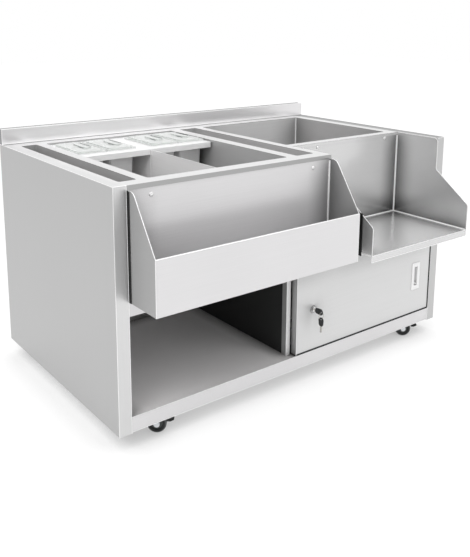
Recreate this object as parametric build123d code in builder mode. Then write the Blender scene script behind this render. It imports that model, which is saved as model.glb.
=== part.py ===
from build123d import *
import os

os.makedirs("parts", exist_ok=True)

# Overall sizes of the cabinet, in millimetres
width = 1200.0
depth = 700.0
panel_height = 620.0
ground_gap = 42.0
shelf_reach = 128.0
sheet = 1.2
bend = 2.0
panel_thickness = 34.0

# Base tray and worktop
base_lift = 4.0
floor_height = 43.0
nosing = 12.0
recess_nosing = 8.0
upstand_height = 46.0
upstand_thickness = 20.0
left_section = 688.0
recess_depth = 165.0

# Openings in the worktop, measured from the left outer face and the front plane
left_slot_start = 38.0
left_slot_width = 48.0
left_bin_rim = 30.0
bin_width = 444.0
right_bin_rim = 36.0
right_slot_width = 64.0
divider_rim = 30.0
sink_rim = 35.0
front_rim = 42.0
back_rim = 68.0
sink_front_rim = 27.0
opening_radius = 6.0

# Depths of the vessels under the worktop
bin_depth = 268.0
foam = 24.0
slot_depth = 160.0
sink_depth = 250.0
vessel_radius = 5.0

# Condiment pans, their frame and their lids
pan_pitch = 98.0
pan_length = 180.0
pan_gap = 1.0
pan_lip = 7.0
pan_depth = 100.0
pan_wall = 0.8
pan_taper = 3.0
pan_corner = 12.0
pan_rim_thickness = 2.0
frame_drop = 6.0
frame_bar = 33.0
frame_back_bar = 24.0
frame_flange = 16.0
frame_edge = 2.0
lid_wall = 2.0
lid_border = 9.0
lid_rise = 3.0
lid_inset = 1.5
grip_length = 84.0
grip_width = 26.0
grip_shift = 12.0
grip_height = 4.0

# Plate that divides the ice
plate_thickness = 2.0
plate_drop = 8.0
plate_lift = 1.0
guide_depth = 10.0
guide_wall = 1.5

# Drains
sink_drain_flange = 43.0
sink_spigot = 20.0
sink_spigot_length = 40.0
bin_drain_flange = 28.0
bin_spigot = 11.0
bin_spigot_length = 36.0
stem_step = 1.5
drain_nut = 8.0
drain_nut_height = 6.0
drain_relief = 3.0
waste_clearance = 8.0
drain_wall = 2.0
drain_flange_thickness = 2.0
drain_from_back = 130.0
strainer_hole = 3.0

# Speed rail in front of the ice bin
rail_gap = 2.0
rail_end_gap = 3.0
rail_reach = 117.0
rail_floor_drop = 283.0
rail_lip_drop = 147.0
rail_top_run = 28.0
rail_corner = 24.0

# Bottle shelf in the recess
shelf_start = 730.0
shelf_floor_drop = 274.0
shelf_lip = 19.0
shelf_front_height = 80.0
shelf_step = 101.0
shelf_step_reach = 2.0
shelf_corner = 16.0
screw_inset = 64.0
screw_drop = 18.0
screw_shank = 3.0
screw_head = 6.0
screw_head_height = 3.2
screw_length = 9.0
screw_clearance = 0.2

# Apron, compartment and partition
apron_drop = 319.0
apron_return = 10.0
compartment_from_back = 198.0
stiffener = 20.0
post_gap = 5.0
post_width = 14.0
post_set_back = 28.0

# Sliding door, its track, glides and guides
door_right_gap = 6.0
door_width = 589.0
door_thickness = 22.0
door_floor_gap = 3.0
door_top_gap = 3.0
track_width = 15.2
track_height = 18.0
track_slot = 5.6
glide_length = 40.0
glide_inset = 70.0
glide_foot = 1.4
glide_neck = 2.8
glide_height = 10.0
glide_side_gap = 0.6
running_gap = 0.3
guide_pad_length = 60.0
guide_pad_height = 24.0
guide_pad_width = 40.0
floor_guide_foot = 14.0

# Flush pull
pull_inset = 47.0
pull_width = 39.0
pull_height = 91.0
pull_proud = 1.2
pull_radius = 2.0
pull_slot_width = 15.0
pull_slot_height = 63.0
pull_cup_wall = 1.5
pull_cup_depth = 13.0
pull_cup_margin = 4.0

# Cam lock and keys
lock_inset = 64.0
lock_flange = 11.0
lock_flange_proud = 3.0
lock_barrel = 9.0
lock_behind = 1.0
plug_radius = 6.0
plug_clearance = 0.05
plug_proud = 0.6
cam_width = 14.0
cam_length = 52.0
cam_thickness = 2.0
keeper_height = 16.0
keeper_gap = 1.5
keeper_inset = 8.0
key_blade = 2.0
key_blade_width = 7.0
key_insert = 18.0
key_neck = 5.0
key_slot_clearance = 0.15
bow_thickness = 3.2
bow_length = 30.0
bow_width = 19.0
bow_hole = 2.6
bow_hole_edge = 6.0
ring_radius = 9.0
ring_wire = 0.8
spare_bow_length = 26.0
spare_blade_length = 20.0

# Swivel casters
caster_from_left = 112.0
caster_from_right = 130.0
caster_from_front = 42.5
caster_from_back = 60.0
caster_turn = 52.0
caster_plate = 60.0
caster_plate_thickness = 3.0
caster_bolt_pitch = 44.0
caster_bolt = 3.0
caster_nut = 5.6
caster_nut_height = 4.0
caster_stud_proud = 1.5
race_radius = 21.0
race_height = 5.5
kingpin = 4.0
kingpin_head = 7.0
kingpin_head_height = 2.6
crown_radius = 19.0
crown_thickness = 3.0
bearing_clearance = 0.05
fork_wall = 2.0
fork_gap = 1.5
fork_foot = 8.0
trail = 16.0
wheel_radius = 25.0
wheel_width = 18.0
tread_radius = 4.0
hub_radius = 8.0
hub_proud = 1.0
web_radius = 17.0
web_recess = 3.0
axle = 4.0
axle_head = 6.0
axle_head_height = 2.0

# Planes that the pieces share, worked out from the sizes above
x_left = -width / 2
x_right = width / 2
y_front = (shelf_reach - depth) / 2
y_back = y_front + depth
z_base = ground_gap
z_top = z_base + panel_height
z_under_top = z_top - sheet
inner_left = x_left + panel_thickness
inner_right = x_right - panel_thickness
floor_top = z_base + floor_height
floor_under = floor_top - sheet
rear_face = y_back - sheet
section_right = x_left + left_section
recess_back_y = y_front + recess_depth
recess_edge_y = recess_back_y - 2 * sheet
apron_y = y_front + rail_gap + sheet
apron_z = z_top - apron_drop
track_top = apron_z + track_height
recess_floor_z = track_top + bend + sheet

# Door, hung against the right side, and the post that its other end meets
door_x1 = inner_right - door_right_gap
door_x0 = door_x1 - door_width
door_z0 = floor_top + door_floor_gap
door_z1 = apron_z - door_top_gap
door_mid_z = (door_z0 + door_z1) / 2
partition_right = door_x0 - post_gap
post_x = partition_right - post_width

# Edges of the worktop openings
open_front = y_front + front_rim
open_back = y_back - back_rim
slot1_left = x_left + left_slot_start
slot1_right = slot1_left + left_slot_width
bin_left = slot1_right + left_bin_rim
bin_right = bin_left + bin_width
slot2_left = bin_right + right_bin_rim
slot2_right = slot2_left + right_slot_width
sink_left = slot2_right + divider_rim
sink_right = inner_right - sink_rim
sink_front = recess_back_y + sink_front_rim

# Floors of the vessels
bin_floor = z_top - bin_depth
bin_wall_out = sheet + foam + sheet
bin_underside = bin_floor - bin_wall_out
sink_floor = z_top - sink_depth
drain_y = y_back - drain_from_back
bin_drain_x = (bin_left + bin_right) / 2 - bin_width / 4
sink_drain_x = (sink_left + sink_right) / 2


def slab(x0, x1, y0, y1, z0, z1, mode=Mode.ADD):
    """A flat rectangular block between two corners."""
    with Locations(((x0 + x1) / 2, (y0 + y1) / 2, (z0 + z1) / 2)):
        Box(x1 - x0, y1 - y0, z1 - z0, mode=mode)


def folded_sheet(fold_line, x0, x1):
    """A sheet folded along a line in the YZ plane and run from x0 to x1."""
    with BuildSketch(Plane.YZ.offset(x0)) as profile:
        with BuildLine():
            FilletPolyline(*fold_line, radius=bend)
            offset(amount=sheet, side=Side.LEFT)
        make_face()
    extrude(profile.sketch, amount=x1 - x0)


def rounded_prism(x0, x1, y0, y1, z0, z1, radius, mode=Mode.ADD):
    """An upright block with round corners in plan."""
    with BuildSketch(Plane.XY.offset(z0)) as outline:
        with Locations(((x0 + x1) / 2, (y0 + y1) / 2)):
            RectangleRounded(x1 - x0, y1 - y0, radius)
    extrude(outline.sketch, amount=z1 - z0, mode=mode)


def open_vessel(x0, x1, y0, y1, z_floor, z_rim, wall, radius):
    """A vessel open at its rim, with its inner faces at the given sizes."""
    rounded_prism(x0 - wall, x1 + wall, y0 - wall, y1 + wall, z_floor - wall, z_rim, radius + wall)
    rounded_prism(x0, x1, y0, y1, z_floor, z_rim, radius, mode=Mode.SUBTRACT)


def upright_hole(x, y, z_middle, radius, length):
    """A round hole along Z, cut from the part in work."""
    with Locations((x, y, z_middle)):
        Cylinder(radius, length, mode=Mode.SUBTRACT)


def level_hole(x, y_middle, z, radius, length):
    """A round hole along Y, cut from the part in work."""
    with Locations(Location((x, y_middle, z), (90, 0, 0))):
        Cylinder(radius, length, mode=Mode.SUBTRACT)


def level_rod(x, y0, y1, z, radius):
    """A round rod along Y from y0 to y1."""
    with Locations(Location((x, (y0 + y1) / 2, z), (90, 0, 0))):
        Cylinder(radius, y1 - y0)


def write_piece(builder, label):
    """Name a finished piece and write it to its own file."""
    builder.part.label = label
    export_step(builder.part, f"parts/{label}.step")


# Side panels: a folded outer skin, closed by a flat inner liner
with BuildPart() as left_panel:
    slab(x_left, inner_left, y_front, y_back, z_base, z_top)
    inner_side = left_panel.faces().sort_by(Axis.X)[-1]
    under_side = left_panel.faces().sort_by(Axis.Z)[0]
    offset(amount=-sheet, openings=[inner_side, under_side])
write_piece(left_panel, "left_panel")

with BuildPart() as left_liner:
    slab(inner_left - sheet, inner_left, y_front + sheet, rear_face, z_base, z_under_top)
write_piece(left_liner, "left_liner")

with BuildPart() as right_panel:
    mirror(left_panel.part, about=Plane.YZ)
write_piece(right_panel, "right_panel")

with BuildPart() as right_liner:
    mirror(left_liner.part, about=Plane.YZ)
write_piece(right_liner, "right_liner")

# Base tray: the compartment floor with its edges folded down and a hole under each drain
caster_spots = [
    (x_left + caster_from_left, y_front + caster_from_front),
    (x_right - caster_from_right, y_front + caster_from_front),
    (x_left + caster_from_left, y_back - caster_from_back),
    (x_right - caster_from_right, y_back - caster_from_back),
]
with BuildPart() as base_tray:
    slab(inner_left, inner_right, y_front, rear_face, z_base + base_lift, floor_top)
    offset(amount=-sheet, openings=base_tray.faces().sort_by(Axis.Z)[0])
    upright_hole(sink_drain_x, drain_y, floor_top, sink_spigot + waste_clearance, 4 * sheet)
    upright_hole(bin_drain_x, drain_y, floor_top, bin_spigot + waste_clearance, 4 * sheet)
write_piece(base_tray, "base_tray")

with BuildPart() as rear_panel:
    slab(inner_left, inner_right, rear_face, y_back, z_base + base_lift, z_under_top)
write_piece(rear_panel, "rear_panel")

# Back wall of the open compartment, stiffened by a fold at its foot and its head
compartment_back_y = y_back - compartment_from_back
with BuildPart() as compartment_back:
    foot_end = (compartment_back_y + stiffener, floor_top)
    foot = (compartment_back_y, floor_top)
    head = (compartment_back_y, bin_underside)
    head_end = (compartment_back_y + stiffener, bin_underside)
    folded_sheet([head_end, head, foot, foot_end], inner_left, post_x)
write_piece(compartment_back, "compartment_back")

# Partition: a hollow post wall between the compartments, with a lug that keeps the lock's cam
post_y = y_front + post_set_back
door_back = y_front + door_thickness
cam_x = door_x0 + lock_inset
cam_z = door_mid_z
cam_y = door_back + lock_behind
keeper_z = cam_z - cam_length + cam_width / 2 + keeper_inset
with BuildPart() as partition:
    slab(post_x, partition_right, post_y, rear_face, floor_top, bin_underside)
    offset(amount=-sheet, openings=partition.faces().sort_by(Axis.Y)[-1])
    keeper_end = cam_x - cam_width / 2 - keeper_gap
    slab(partition_right, keeper_end, cam_y, post_y + stiffener, keeper_z - keeper_height, keeper_z)
write_piece(partition, "partition")

# Worktop: an L-shaped sheet with folded edges and the openings of the vessels
with BuildPart() as worktop:
    with BuildSketch(Plane.XY.offset(z_top)):
        with BuildLine():
            Polyline(
                (inner_left, y_front),
                (section_right, y_front),
                (section_right, recess_edge_y),
                (inner_right, recess_edge_y),
                (inner_right, rear_face),
                (inner_left, rear_face),
                close=True,
            )
        make_face()
    extrude(amount=-nosing)
    offset(amount=-sheet, openings=worktop.faces().sort_by(Axis.Z)[0])
    slab(
        section_right, inner_right, recess_edge_y, recess_back_y + sheet,
        z_top - nosing, z_top - recess_nosing, Mode.SUBTRACT,
    )
    for x0, x1, y0 in (
        (slot1_left, slot1_right, open_front),
        (bin_left, bin_right, open_front),
        (slot2_left, slot2_right, open_front),
        (sink_left, sink_right, sink_front),
    ):
        rounded_prism(x0, x1, y0, open_back, z_top - nosing, z_top, opening_radius, Mode.SUBTRACT)
write_piece(worktop, "worktop")

with BuildPart() as upstand:
    slab(x_left, x_right, y_back - upstand_thickness, y_back, z_top, z_top + upstand_height)
    offset(amount=-sheet, openings=upstand.faces().sort_by(Axis.Z)[0])
write_piece(upstand, "upstand")

# Apron behind the speed rail, and the three sheets that line the recess
rail_left = inner_left + rail_end_gap
rail_right = section_right - rail_end_gap
screw_z = z_top - nosing - screw_drop
shelf_screw_z = z_top - recess_nosing - screw_head - running_gap
rail_screws = [rail_left + screw_inset, rail_right - screw_inset]
shelf_left = x_left + shelf_start
shelf_screws = [shelf_left + screw_inset, inner_right - screw_inset]
recess_side_x = section_right - sheet
hole_radius = screw_shank + screw_clearance
with BuildPart() as front_apron:
    head_end = (apron_y + apron_return, z_under_top)
    head = (apron_y, z_under_top)
    foot = (apron_y, apron_z)
    folded_sheet([head_end, head, foot], inner_left + sheet, recess_side_x - sheet)
    for x in rail_screws:
        level_hole(x, apron_y, screw_z, hole_radius, 4 * sheet)
write_piece(front_apron, "front_apron")

with BuildPart() as recess_side:
    slab(recess_side_x - sheet, recess_side_x, apron_y, recess_back_y, track_top, z_under_top)
write_piece(recess_side, "recess_side")

with BuildPart() as recess_floor:
    back_end = (recess_back_y + sheet, recess_floor_z)
    fold = (apron_y, recess_floor_z)
    foot = (apron_y, apron_z)
    folded_sheet([back_end, fold, foot], recess_side_x, inner_right)
write_piece(recess_floor, "recess_floor")

with BuildPart() as recess_back:
    slab(
        recess_side_x, inner_right - sheet, recess_back_y, recess_back_y + sheet,
        recess_floor_z, z_under_top,
    )
    for x in shelf_screws:
        level_hole(x, recess_back_y, shelf_screw_z, hole_radius, 4 * sheet)
write_piece(recess_back, "recess_back")

# Insulated ice bin: inner liner, foam and outer shell, with one drain hole through all three
bin_hole = bin_spigot + stem_step + running_gap
with BuildPart() as bin_liner:
    open_vessel(bin_left, bin_right, open_front, open_back, bin_floor, z_under_top, sheet, vessel_radius)
    upright_hole(bin_drain_x, drain_y, bin_floor, bin_hole, 4 * sheet)
write_piece(bin_liner, "bin_liner")

foam_floor = bin_floor - sheet
with BuildPart() as bin_foam:
    open_vessel(
        bin_left - sheet, bin_right + sheet, open_front - sheet, open_back + sheet,
        foam_floor, z_under_top, foam, vessel_radius + sheet,
    )
    upright_hole(bin_drain_x, drain_y, foam_floor, bin_hole, 4 * foam)
write_piece(bin_foam, "bin_foam")

skin = sheet + foam
with BuildPart() as bin_shell:
    open_vessel(
        bin_left - skin, bin_right + skin, open_front - skin, open_back + skin,
        foam_floor - foam, z_under_top, sheet, vessel_radius + skin,
    )
    upright_hole(bin_drain_x, drain_y, foam_floor - foam, bin_hole, 4 * sheet)
write_piece(bin_shell, "bin_shell")

# Narrow wells at both sides of the bin, and the sink bowl
slot_floor = z_top - slot_depth
with BuildPart() as left_well:
    open_vessel(slot1_left, slot1_right, open_front, open_back, slot_floor, z_under_top, sheet, vessel_radius)
write_piece(left_well, "left_well")

with BuildPart() as right_well:
    open_vessel(slot2_left, slot2_right, open_front, open_back, slot_floor, z_under_top, sheet, vessel_radius)
write_piece(right_well, "right_well")

with BuildPart() as sink_bowl:
    open_vessel(sink_left, sink_right, sink_front, open_back, sink_floor, z_under_top, sheet, vessel_radius)
    upright_hole(sink_drain_x, drain_y, sink_floor, sink_spigot + stem_step + running_gap, 4 * sheet)
write_piece(sink_bowl, "sink_bowl")


def drain(x, z_floor, z_under, flange, spigot, spigot_length):
    """A strainer flange on a floor, its stem and nut, and the spigot that a waste pipe goes on."""
    with BuildSketch(Plane.XY.offset(z_floor)) as strainer:
        with Locations((x, drain_y)):
            Circle(flange)
            with PolarLocations(spigot * 0.6, 6):
                Circle(strainer_hole, mode=Mode.SUBTRACT)
    extrude(strainer.sketch, amount=drain_flange_thickness)
    nut_end = z_under - drain_nut_height
    spigot_top = nut_end - drain_relief
    spigot_end = spigot_top - spigot_length
    for radius, z_high, z_low in (
        (spigot + stem_step, z_floor, nut_end),
        (spigot - drain_wall / 2, nut_end, spigot_top),
        (spigot, spigot_top, spigot_end),
    ):
        with BuildSketch(Plane.XY.offset(z_high)) as pipe:
            with Locations((x, drain_y)):
                Circle(radius)
                Circle(spigot - drain_wall, mode=Mode.SUBTRACT)
        extrude(pipe.sketch, amount=z_low - z_high)
    with BuildSketch(Plane.XY.offset(z_under)) as nut:
        with Locations((x, drain_y)):
            RegularPolygon(spigot + drain_nut, 6)
            Circle(spigot, mode=Mode.SUBTRACT)
    extrude(nut.sketch, amount=-drain_nut_height)


with BuildPart() as sink_drain:
    drain(sink_drain_x, sink_floor, sink_floor - sheet, sink_drain_flange, sink_spigot, sink_spigot_length)
write_piece(sink_drain, "sink_drain")

with BuildPart() as bin_drain:
    drain(bin_drain_x, bin_floor, bin_underside, bin_drain_flange, bin_spigot, bin_spigot_length)
write_piece(bin_drain, "bin_drain")

# Frame that carries the pans: a sheet with a folded front edge and one opening for each pair
pair_width = 2 * pan_pitch
frame_top = z_top - frame_drop
frame_back = open_back
pan_back = frame_back - frame_back_bar
pan_front = pan_back - pan_length
frame_front = pan_front - frame_bar
pair_starts = [bin_left + frame_edge, bin_right - frame_edge - pair_width]
with BuildPart() as pan_frame:
    rounded_prism(bin_left, bin_right, frame_front, frame_back, frame_top - sheet, frame_top, vessel_radius)
    slab(
        bin_left + vessel_radius, bin_right - vessel_radius, frame_front, frame_front + sheet,
        frame_top - frame_flange, frame_top - sheet,
    )
    for start in pair_starts:
        rounded_prism(
            start + pan_lip, start + pair_width - pan_lip, pan_front + pan_lip, pan_back - pan_lip,
            frame_top - 2 * sheet, frame_top + sheet, pan_corner, Mode.SUBTRACT,
        )
write_piece(pan_frame, "pan_frame")

# Four pans with clear lids
pan_y = (pan_front + pan_back) / 2
pan_width = pan_pitch - pan_gap
pan_rim_z = frame_top + running_gap
lid_z = pan_rim_z + pan_rim_thickness + running_gap
pan_centres = [start + pan_pitch * (half + 0.5) for start in pair_starts for half in (0, 1)]
body_width = pan_width - 2 * pan_lip
body_length = pan_length - 2 * pan_lip - pan_gap
for number, pan_x in enumerate(pan_centres, start=1):
    with BuildPart() as pan:
        with BuildSketch(Plane.XY.offset(pan_rim_z)):
            with Locations((pan_x, pan_y)):
                RectangleRounded(body_width, body_length, pan_corner)
        extrude(amount=-pan_depth, taper=pan_taper)
        with BuildSketch(Plane.XY.offset(pan_rim_z)):
            with Locations((pan_x, pan_y)):
                RectangleRounded(body_width - 2 * pan_wall, body_length - 2 * pan_wall, pan_corner - pan_wall)
        extrude(amount=pan_wall - pan_depth, taper=pan_taper, mode=Mode.SUBTRACT)
        with BuildSketch(Plane.XY.offset(pan_rim_z)):
            with Locations((pan_x, pan_y)):
                RectangleRounded(pan_width, pan_length - pan_gap, pan_corner)
                RectangleRounded(
                    body_width - 2 * pan_wall, body_length - 2 * pan_wall, pan_corner - pan_wall,
                    mode=Mode.SUBTRACT,
                )
        extrude(amount=pan_rim_thickness)
    write_piece(pan, f"pan_{number}")

    with BuildPart() as lid:
        with BuildSketch(Plane.XY.offset(lid_z)):
            with Locations((pan_x, pan_y)):
                RectangleRounded(pan_width - lid_inset, pan_length - pan_gap - lid_inset, pan_corner)
        extrude(amount=lid_wall)
        with BuildSketch(Plane.XY.offset(lid_z + lid_wall)):
            with Locations((pan_x, pan_y)):
                RectangleRounded(pan_width - 2 * lid_border, pan_length - 2 * lid_border, pan_corner)
        extrude(amount=lid_rise, taper=20)
        with BuildSketch(Plane.XY.offset(lid_z + lid_wall + lid_rise)):
            with Locations((pan_x + grip_shift, pan_y)):
                SlotOverall(grip_length, grip_width, rotation=90)
        extrude(amount=grip_height, taper=8)
        fillet(lid.faces().sort_by(Axis.Z)[-1].edges(), radius=lid_wall)
        with BuildSketch(Plane.XY.offset(lid_z)):
            with Locations((pan_x + grip_shift, pan_y)):
                SlotOverall(grip_length - 3 * lid_wall, grip_width - 3 * lid_wall, rotation=90)
        extrude(amount=lid_rise + grip_height, mode=Mode.SUBTRACT)
    write_piece(lid, f"lid_{number}")

# Lift-out plate that divides the ice, the two channels that hold its ends, and a fixed web behind it
plate_x = (bin_left + bin_right) / 2
plate_half = plate_thickness / 2
plate_front = open_front + guide_wall + running_gap
plate_back = frame_front - guide_wall - running_gap
plate_top = z_top - plate_drop
with BuildPart() as ice_divider:
    slab(
        plate_x - plate_half, plate_x + plate_half, plate_front, plate_back,
        bin_floor + plate_lift, plate_top,
    )
write_piece(ice_divider, "ice_divider")

channel_half = plate_half + running_gap + guide_wall
with BuildPart() as divider_guides:
    for wall_y, towards in ((open_front, 1), (frame_front, -1)):
        web_y = wall_y + towards * guide_wall
        end_y = wall_y + towards * guide_depth
        guide_low = frame_top - frame_flange
        slab(
            plate_x - channel_half, plate_x + channel_half, min(wall_y, end_y), max(wall_y, end_y),
            guide_low, plate_top,
        )
        slab(
            plate_x - plate_half - running_gap, plate_x + plate_half + running_gap,
            min(web_y, end_y), max(web_y, end_y), guide_low, plate_top, Mode.SUBTRACT,
        )
    web_x0 = plate_x - plate_half
    web_x1 = plate_x + plate_half
    web_low = bin_floor + plate_lift
    slab(web_x0, web_x1, frame_front + sheet, open_back, web_low, frame_top - sheet)
    slab(web_x0, web_x1, frame_front + sheet / 2, frame_front + sheet, web_low, frame_top - frame_flange)
write_piece(divider_guides, "divider_guides")

# Speed rail: a folded trough whose end walls slope down to the front lip
rail_back_y = apron_y
rail_front_y = y_front - rail_reach
rail_top = z_top - nosing
with BuildPart() as speed_rail:
    with BuildSketch(Plane.YZ.offset(rail_left)) as rail_side:
        with BuildLine():
            Polyline(
                (rail_back_y, z_top - rail_floor_drop),
                (rail_front_y, z_top - rail_floor_drop),
                (rail_front_y, z_top - rail_lip_drop),
                (rail_back_y - rail_top_run, rail_top),
                (rail_back_y, rail_top),
                close=True,
            )
        make_face()
        top_corner = rail_side.vertices().sort_by_distance((rail_back_y - rail_top_run, rail_top))[0]
        fillet(top_corner, rail_corner)
    extrude(amount=rail_right - rail_left)
    side_walls = speed_rail.faces().filter_by(Axis.X)
    trough_back = speed_rail.faces().sort_by(Axis.Y)[-1]
    trough_front = speed_rail.faces().sort_by(Axis.Y)[0]
    trough_floor = speed_rail.faces().sort_by(Axis.Z)[0]
    kept = list(side_walls) + [trough_back, trough_front, trough_floor]
    offset(amount=-sheet, openings=[f for f in speed_rail.faces() if f not in kept])
    for x in rail_screws:
        level_hole(x, rail_back_y, screw_z, hole_radius, 4 * sheet)
write_piece(speed_rail, "speed_rail")

# Bottle shelf: floor, back, a stepped wall at the right and a lower one at the left, with a turned-down front
shelf_z = z_top - shelf_floor_drop
shelf_front_y = y_front - shelf_reach
step_y = y_front - shelf_step_reach
with BuildPart() as shelf:
    with BuildSketch(Plane.YZ.offset(shelf_left)) as shelf_side:
        with BuildLine():
            Polyline(
                (recess_back_y, shelf_z - sheet),
                (shelf_front_y, shelf_z - sheet),
                (shelf_front_y, shelf_z + shelf_front_height),
                (step_y, z_top - shelf_step),
                (step_y, z_top),
                (recess_edge_y - running_gap, z_top),
                (recess_edge_y - running_gap, z_top - recess_nosing - running_gap),
                (recess_back_y, z_top - recess_nosing - running_gap),
                close=True,
            )
        make_face()
        front_corner = shelf_side.vertices().sort_by_distance((shelf_front_y, shelf_z + shelf_front_height))[0]
        fillet(front_corner, shelf_corner)
    extrude(amount=inner_right - shelf_left)
    side_walls = shelf.faces().filter_by(Axis.X)
    shelf_back = shelf.faces().sort_by(Axis.Y)[-1]
    shelf_base = shelf.faces().sort_by(Axis.Z)[0]
    kept = list(side_walls) + [shelf_back, shelf_base]
    offset(amount=-sheet, openings=[f for f in shelf.faces() if f not in kept])
    slab(
        shelf_left, shelf_left + sheet, step_y - sheet, recess_back_y - sheet,
        z_top - shelf_step, z_top, Mode.SUBTRACT,
    )
    slab(shelf_left, inner_right, shelf_front_y, shelf_front_y + sheet, shelf_z - shelf_lip, shelf_z - sheet)
    for x in shelf_screws:
        level_hole(x, recess_back_y, shelf_screw_z, hole_radius, 4 * sheet)
write_piece(shelf, "shelf")

# Screws that hold the rail and the shelf
with BuildPart() as tray_screws:
    seats = [(x, rail_back_y - sheet, screw_z) for x in rail_screws]
    seats += [(x, recess_back_y - sheet, shelf_screw_z) for x in shelf_screws]
    for x, seat_y, seat_z in seats:
        level_rod(x, seat_y, seat_y + screw_length, seat_z, screw_shank)
        with Locations(Location((x, seat_y, seat_z), (90, 0, 0))):
            Cone(screw_head, screw_head * 0.6, screw_head_height, align=(Align.CENTER, Align.CENTER, Align.MIN))
write_piece(tray_screws, "tray_screws")

# Door: a folded front skin and the flat inner skin that closes it
pull_x = door_x1 - pull_inset - pull_width / 2
pull_z = door_mid_z
cup_width = pull_slot_width + 2 * pull_cup_margin
cup_height = pull_slot_height + 2 * pull_cup_margin
with BuildPart() as door_skin:
    slab(door_x0, door_x1, y_front, door_back, door_z0, door_z1)
    offset(amount=-sheet, openings=door_skin.faces().sort_by(Axis.Y)[-1])
    half_w = cup_width / 2 + pull_cup_wall
    half_h = cup_height / 2 + pull_cup_wall
    slab(
        pull_x - half_w, pull_x + half_w, y_front - sheet, y_front + 2 * sheet,
        pull_z - half_h, pull_z + half_h, Mode.SUBTRACT,
    )
    level_hole(cam_x, y_front, cam_z, lock_barrel + running_gap, 4 * sheet)
write_piece(door_skin, "door_skin")

with BuildPart() as door_liner:
    slab(door_x0 + sheet, door_x1 - sheet, door_back - sheet, door_back, door_z0 + sheet, door_z1 - sheet)
    level_hole(cam_x, door_back, cam_z, lock_barrel + running_gap, 4 * sheet)
write_piece(door_liner, "door_liner")

# Flush pull: a thin front plate with a finger cup behind it
with BuildPart() as door_pull:
    plate_y = y_front - pull_proud
    with BuildSketch(Plane.XZ.offset(-y_front)):
        with Locations((pull_x, pull_z)):
            RectangleRounded(pull_width, pull_height, pull_radius)
    extrude(amount=pull_proud)
    slab(
        pull_x - half_w, pull_x + half_w, y_front, y_front + pull_cup_depth,
        pull_z - half_h, pull_z + half_h,
    )
    slab(
        pull_x - cup_width / 2, pull_x + cup_width / 2, y_front, y_front + pull_cup_depth - pull_cup_wall,
        pull_z - cup_height / 2, pull_z + cup_height / 2, Mode.SUBTRACT,
    )
    slab(
        pull_x - pull_slot_width / 2, pull_x + pull_slot_width / 2, plate_y, y_front,
        pull_z - pull_slot_height / 2, pull_z + pull_slot_height / 2, Mode.SUBTRACT,
    )
write_piece(door_pull, "door_pull")

# Top track, the glides that hang in it, and the pads that guide the door's foot
track_y0 = apron_y + sheet
track_y1 = track_y0 + track_width
track_mid = (track_y0 + track_y1) / 2
with BuildPart() as door_track:
    slab(inner_left, inner_right, track_y0, track_y1, apron_z, track_top)
    slab(
        inner_left, inner_right, track_y0 + sheet, track_y1 - sheet,
        apron_z + sheet, track_top - sheet, Mode.SUBTRACT,
    )
    slab(
        inner_left, inner_right, track_mid - track_slot / 2, track_mid + track_slot / 2,
        apron_z, apron_z + sheet, Mode.SUBTRACT,
    )
write_piece(door_track, "door_track")

glide_half = track_width / 2 - sheet - glide_side_gap
glide_low = apron_z + sheet + running_gap
with BuildPart() as door_glides:
    for x in (door_x0 + glide_inset, door_x1 - glide_inset):
        x0 = x - glide_length / 2
        x1 = x + glide_length / 2
        slab(x0, x1, track_mid - glide_half, track_mid + glide_half, door_z1, door_z1 + glide_foot)
        slab(x0, x1, track_mid - glide_neck / 2, track_mid + glide_neck / 2, door_z1 + glide_foot, glide_low)
        slab(x0, x1, track_mid - glide_half, track_mid + glide_half, glide_low, glide_low + glide_height)
write_piece(door_glides, "door_glides")

with BuildPart() as door_guides:
    pad_z = door_z0 + guide_pad_height
    slab(post_x, partition_right, door_back + running_gap, post_y, pad_z, pad_z + guide_pad_length)
    foot_x = door_x0 + guide_pad_width
    foot_y = door_back + running_gap
    slab(door_x0, foot_x, foot_y, foot_y + 2 * sheet, floor_top, door_z0 + guide_pad_height)
    slab(door_x0, foot_x, foot_y + 2 * sheet, foot_y + floor_guide_foot, floor_top, floor_top + 2 * sheet)
write_piece(door_guides, "door_guides")

# Cam lock: body, turning plug, cam and key
flange_y = y_front - lock_flange_proud
with BuildPart() as lock_body:
    level_rod(cam_x, flange_y, y_front, cam_z, lock_flange)
    level_rod(cam_x, y_front, cam_y, cam_z, lock_barrel)
    level_hole(cam_x, y_front, cam_z, plug_radius + plug_clearance, 4 * door_thickness)
    chamfer(lock_body.edges().group_by(Axis.Y)[0].sort_by(SortBy.LENGTH)[-1], lock_flange_proud / 3)
write_piece(lock_body, "lock_body")

plug_y = flange_y - plug_proud
blade_half = key_blade / 2
with BuildPart() as lock_plug:
    level_rod(cam_x, plug_y, cam_y, cam_z, plug_radius)
    slab(
        cam_x - blade_half - key_slot_clearance, cam_x + blade_half + key_slot_clearance,
        plug_y, plug_y + key_insert + key_slot_clearance,
        cam_z - key_blade_width / 2 - key_slot_clearance, cam_z + key_blade_width / 2 + key_slot_clearance,
        Mode.SUBTRACT,
    )
write_piece(lock_plug, "lock_plug")

with BuildPart() as lock_cam:
    with BuildSketch(Plane.XZ.offset(-cam_y)):
        with Locations((cam_x + cam_length / 2 - cam_width / 2, cam_z)):
            SlotOverall(cam_length, cam_width)
    extrude(amount=-cam_thickness)
write_piece(lock_cam, "lock_cam")

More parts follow.
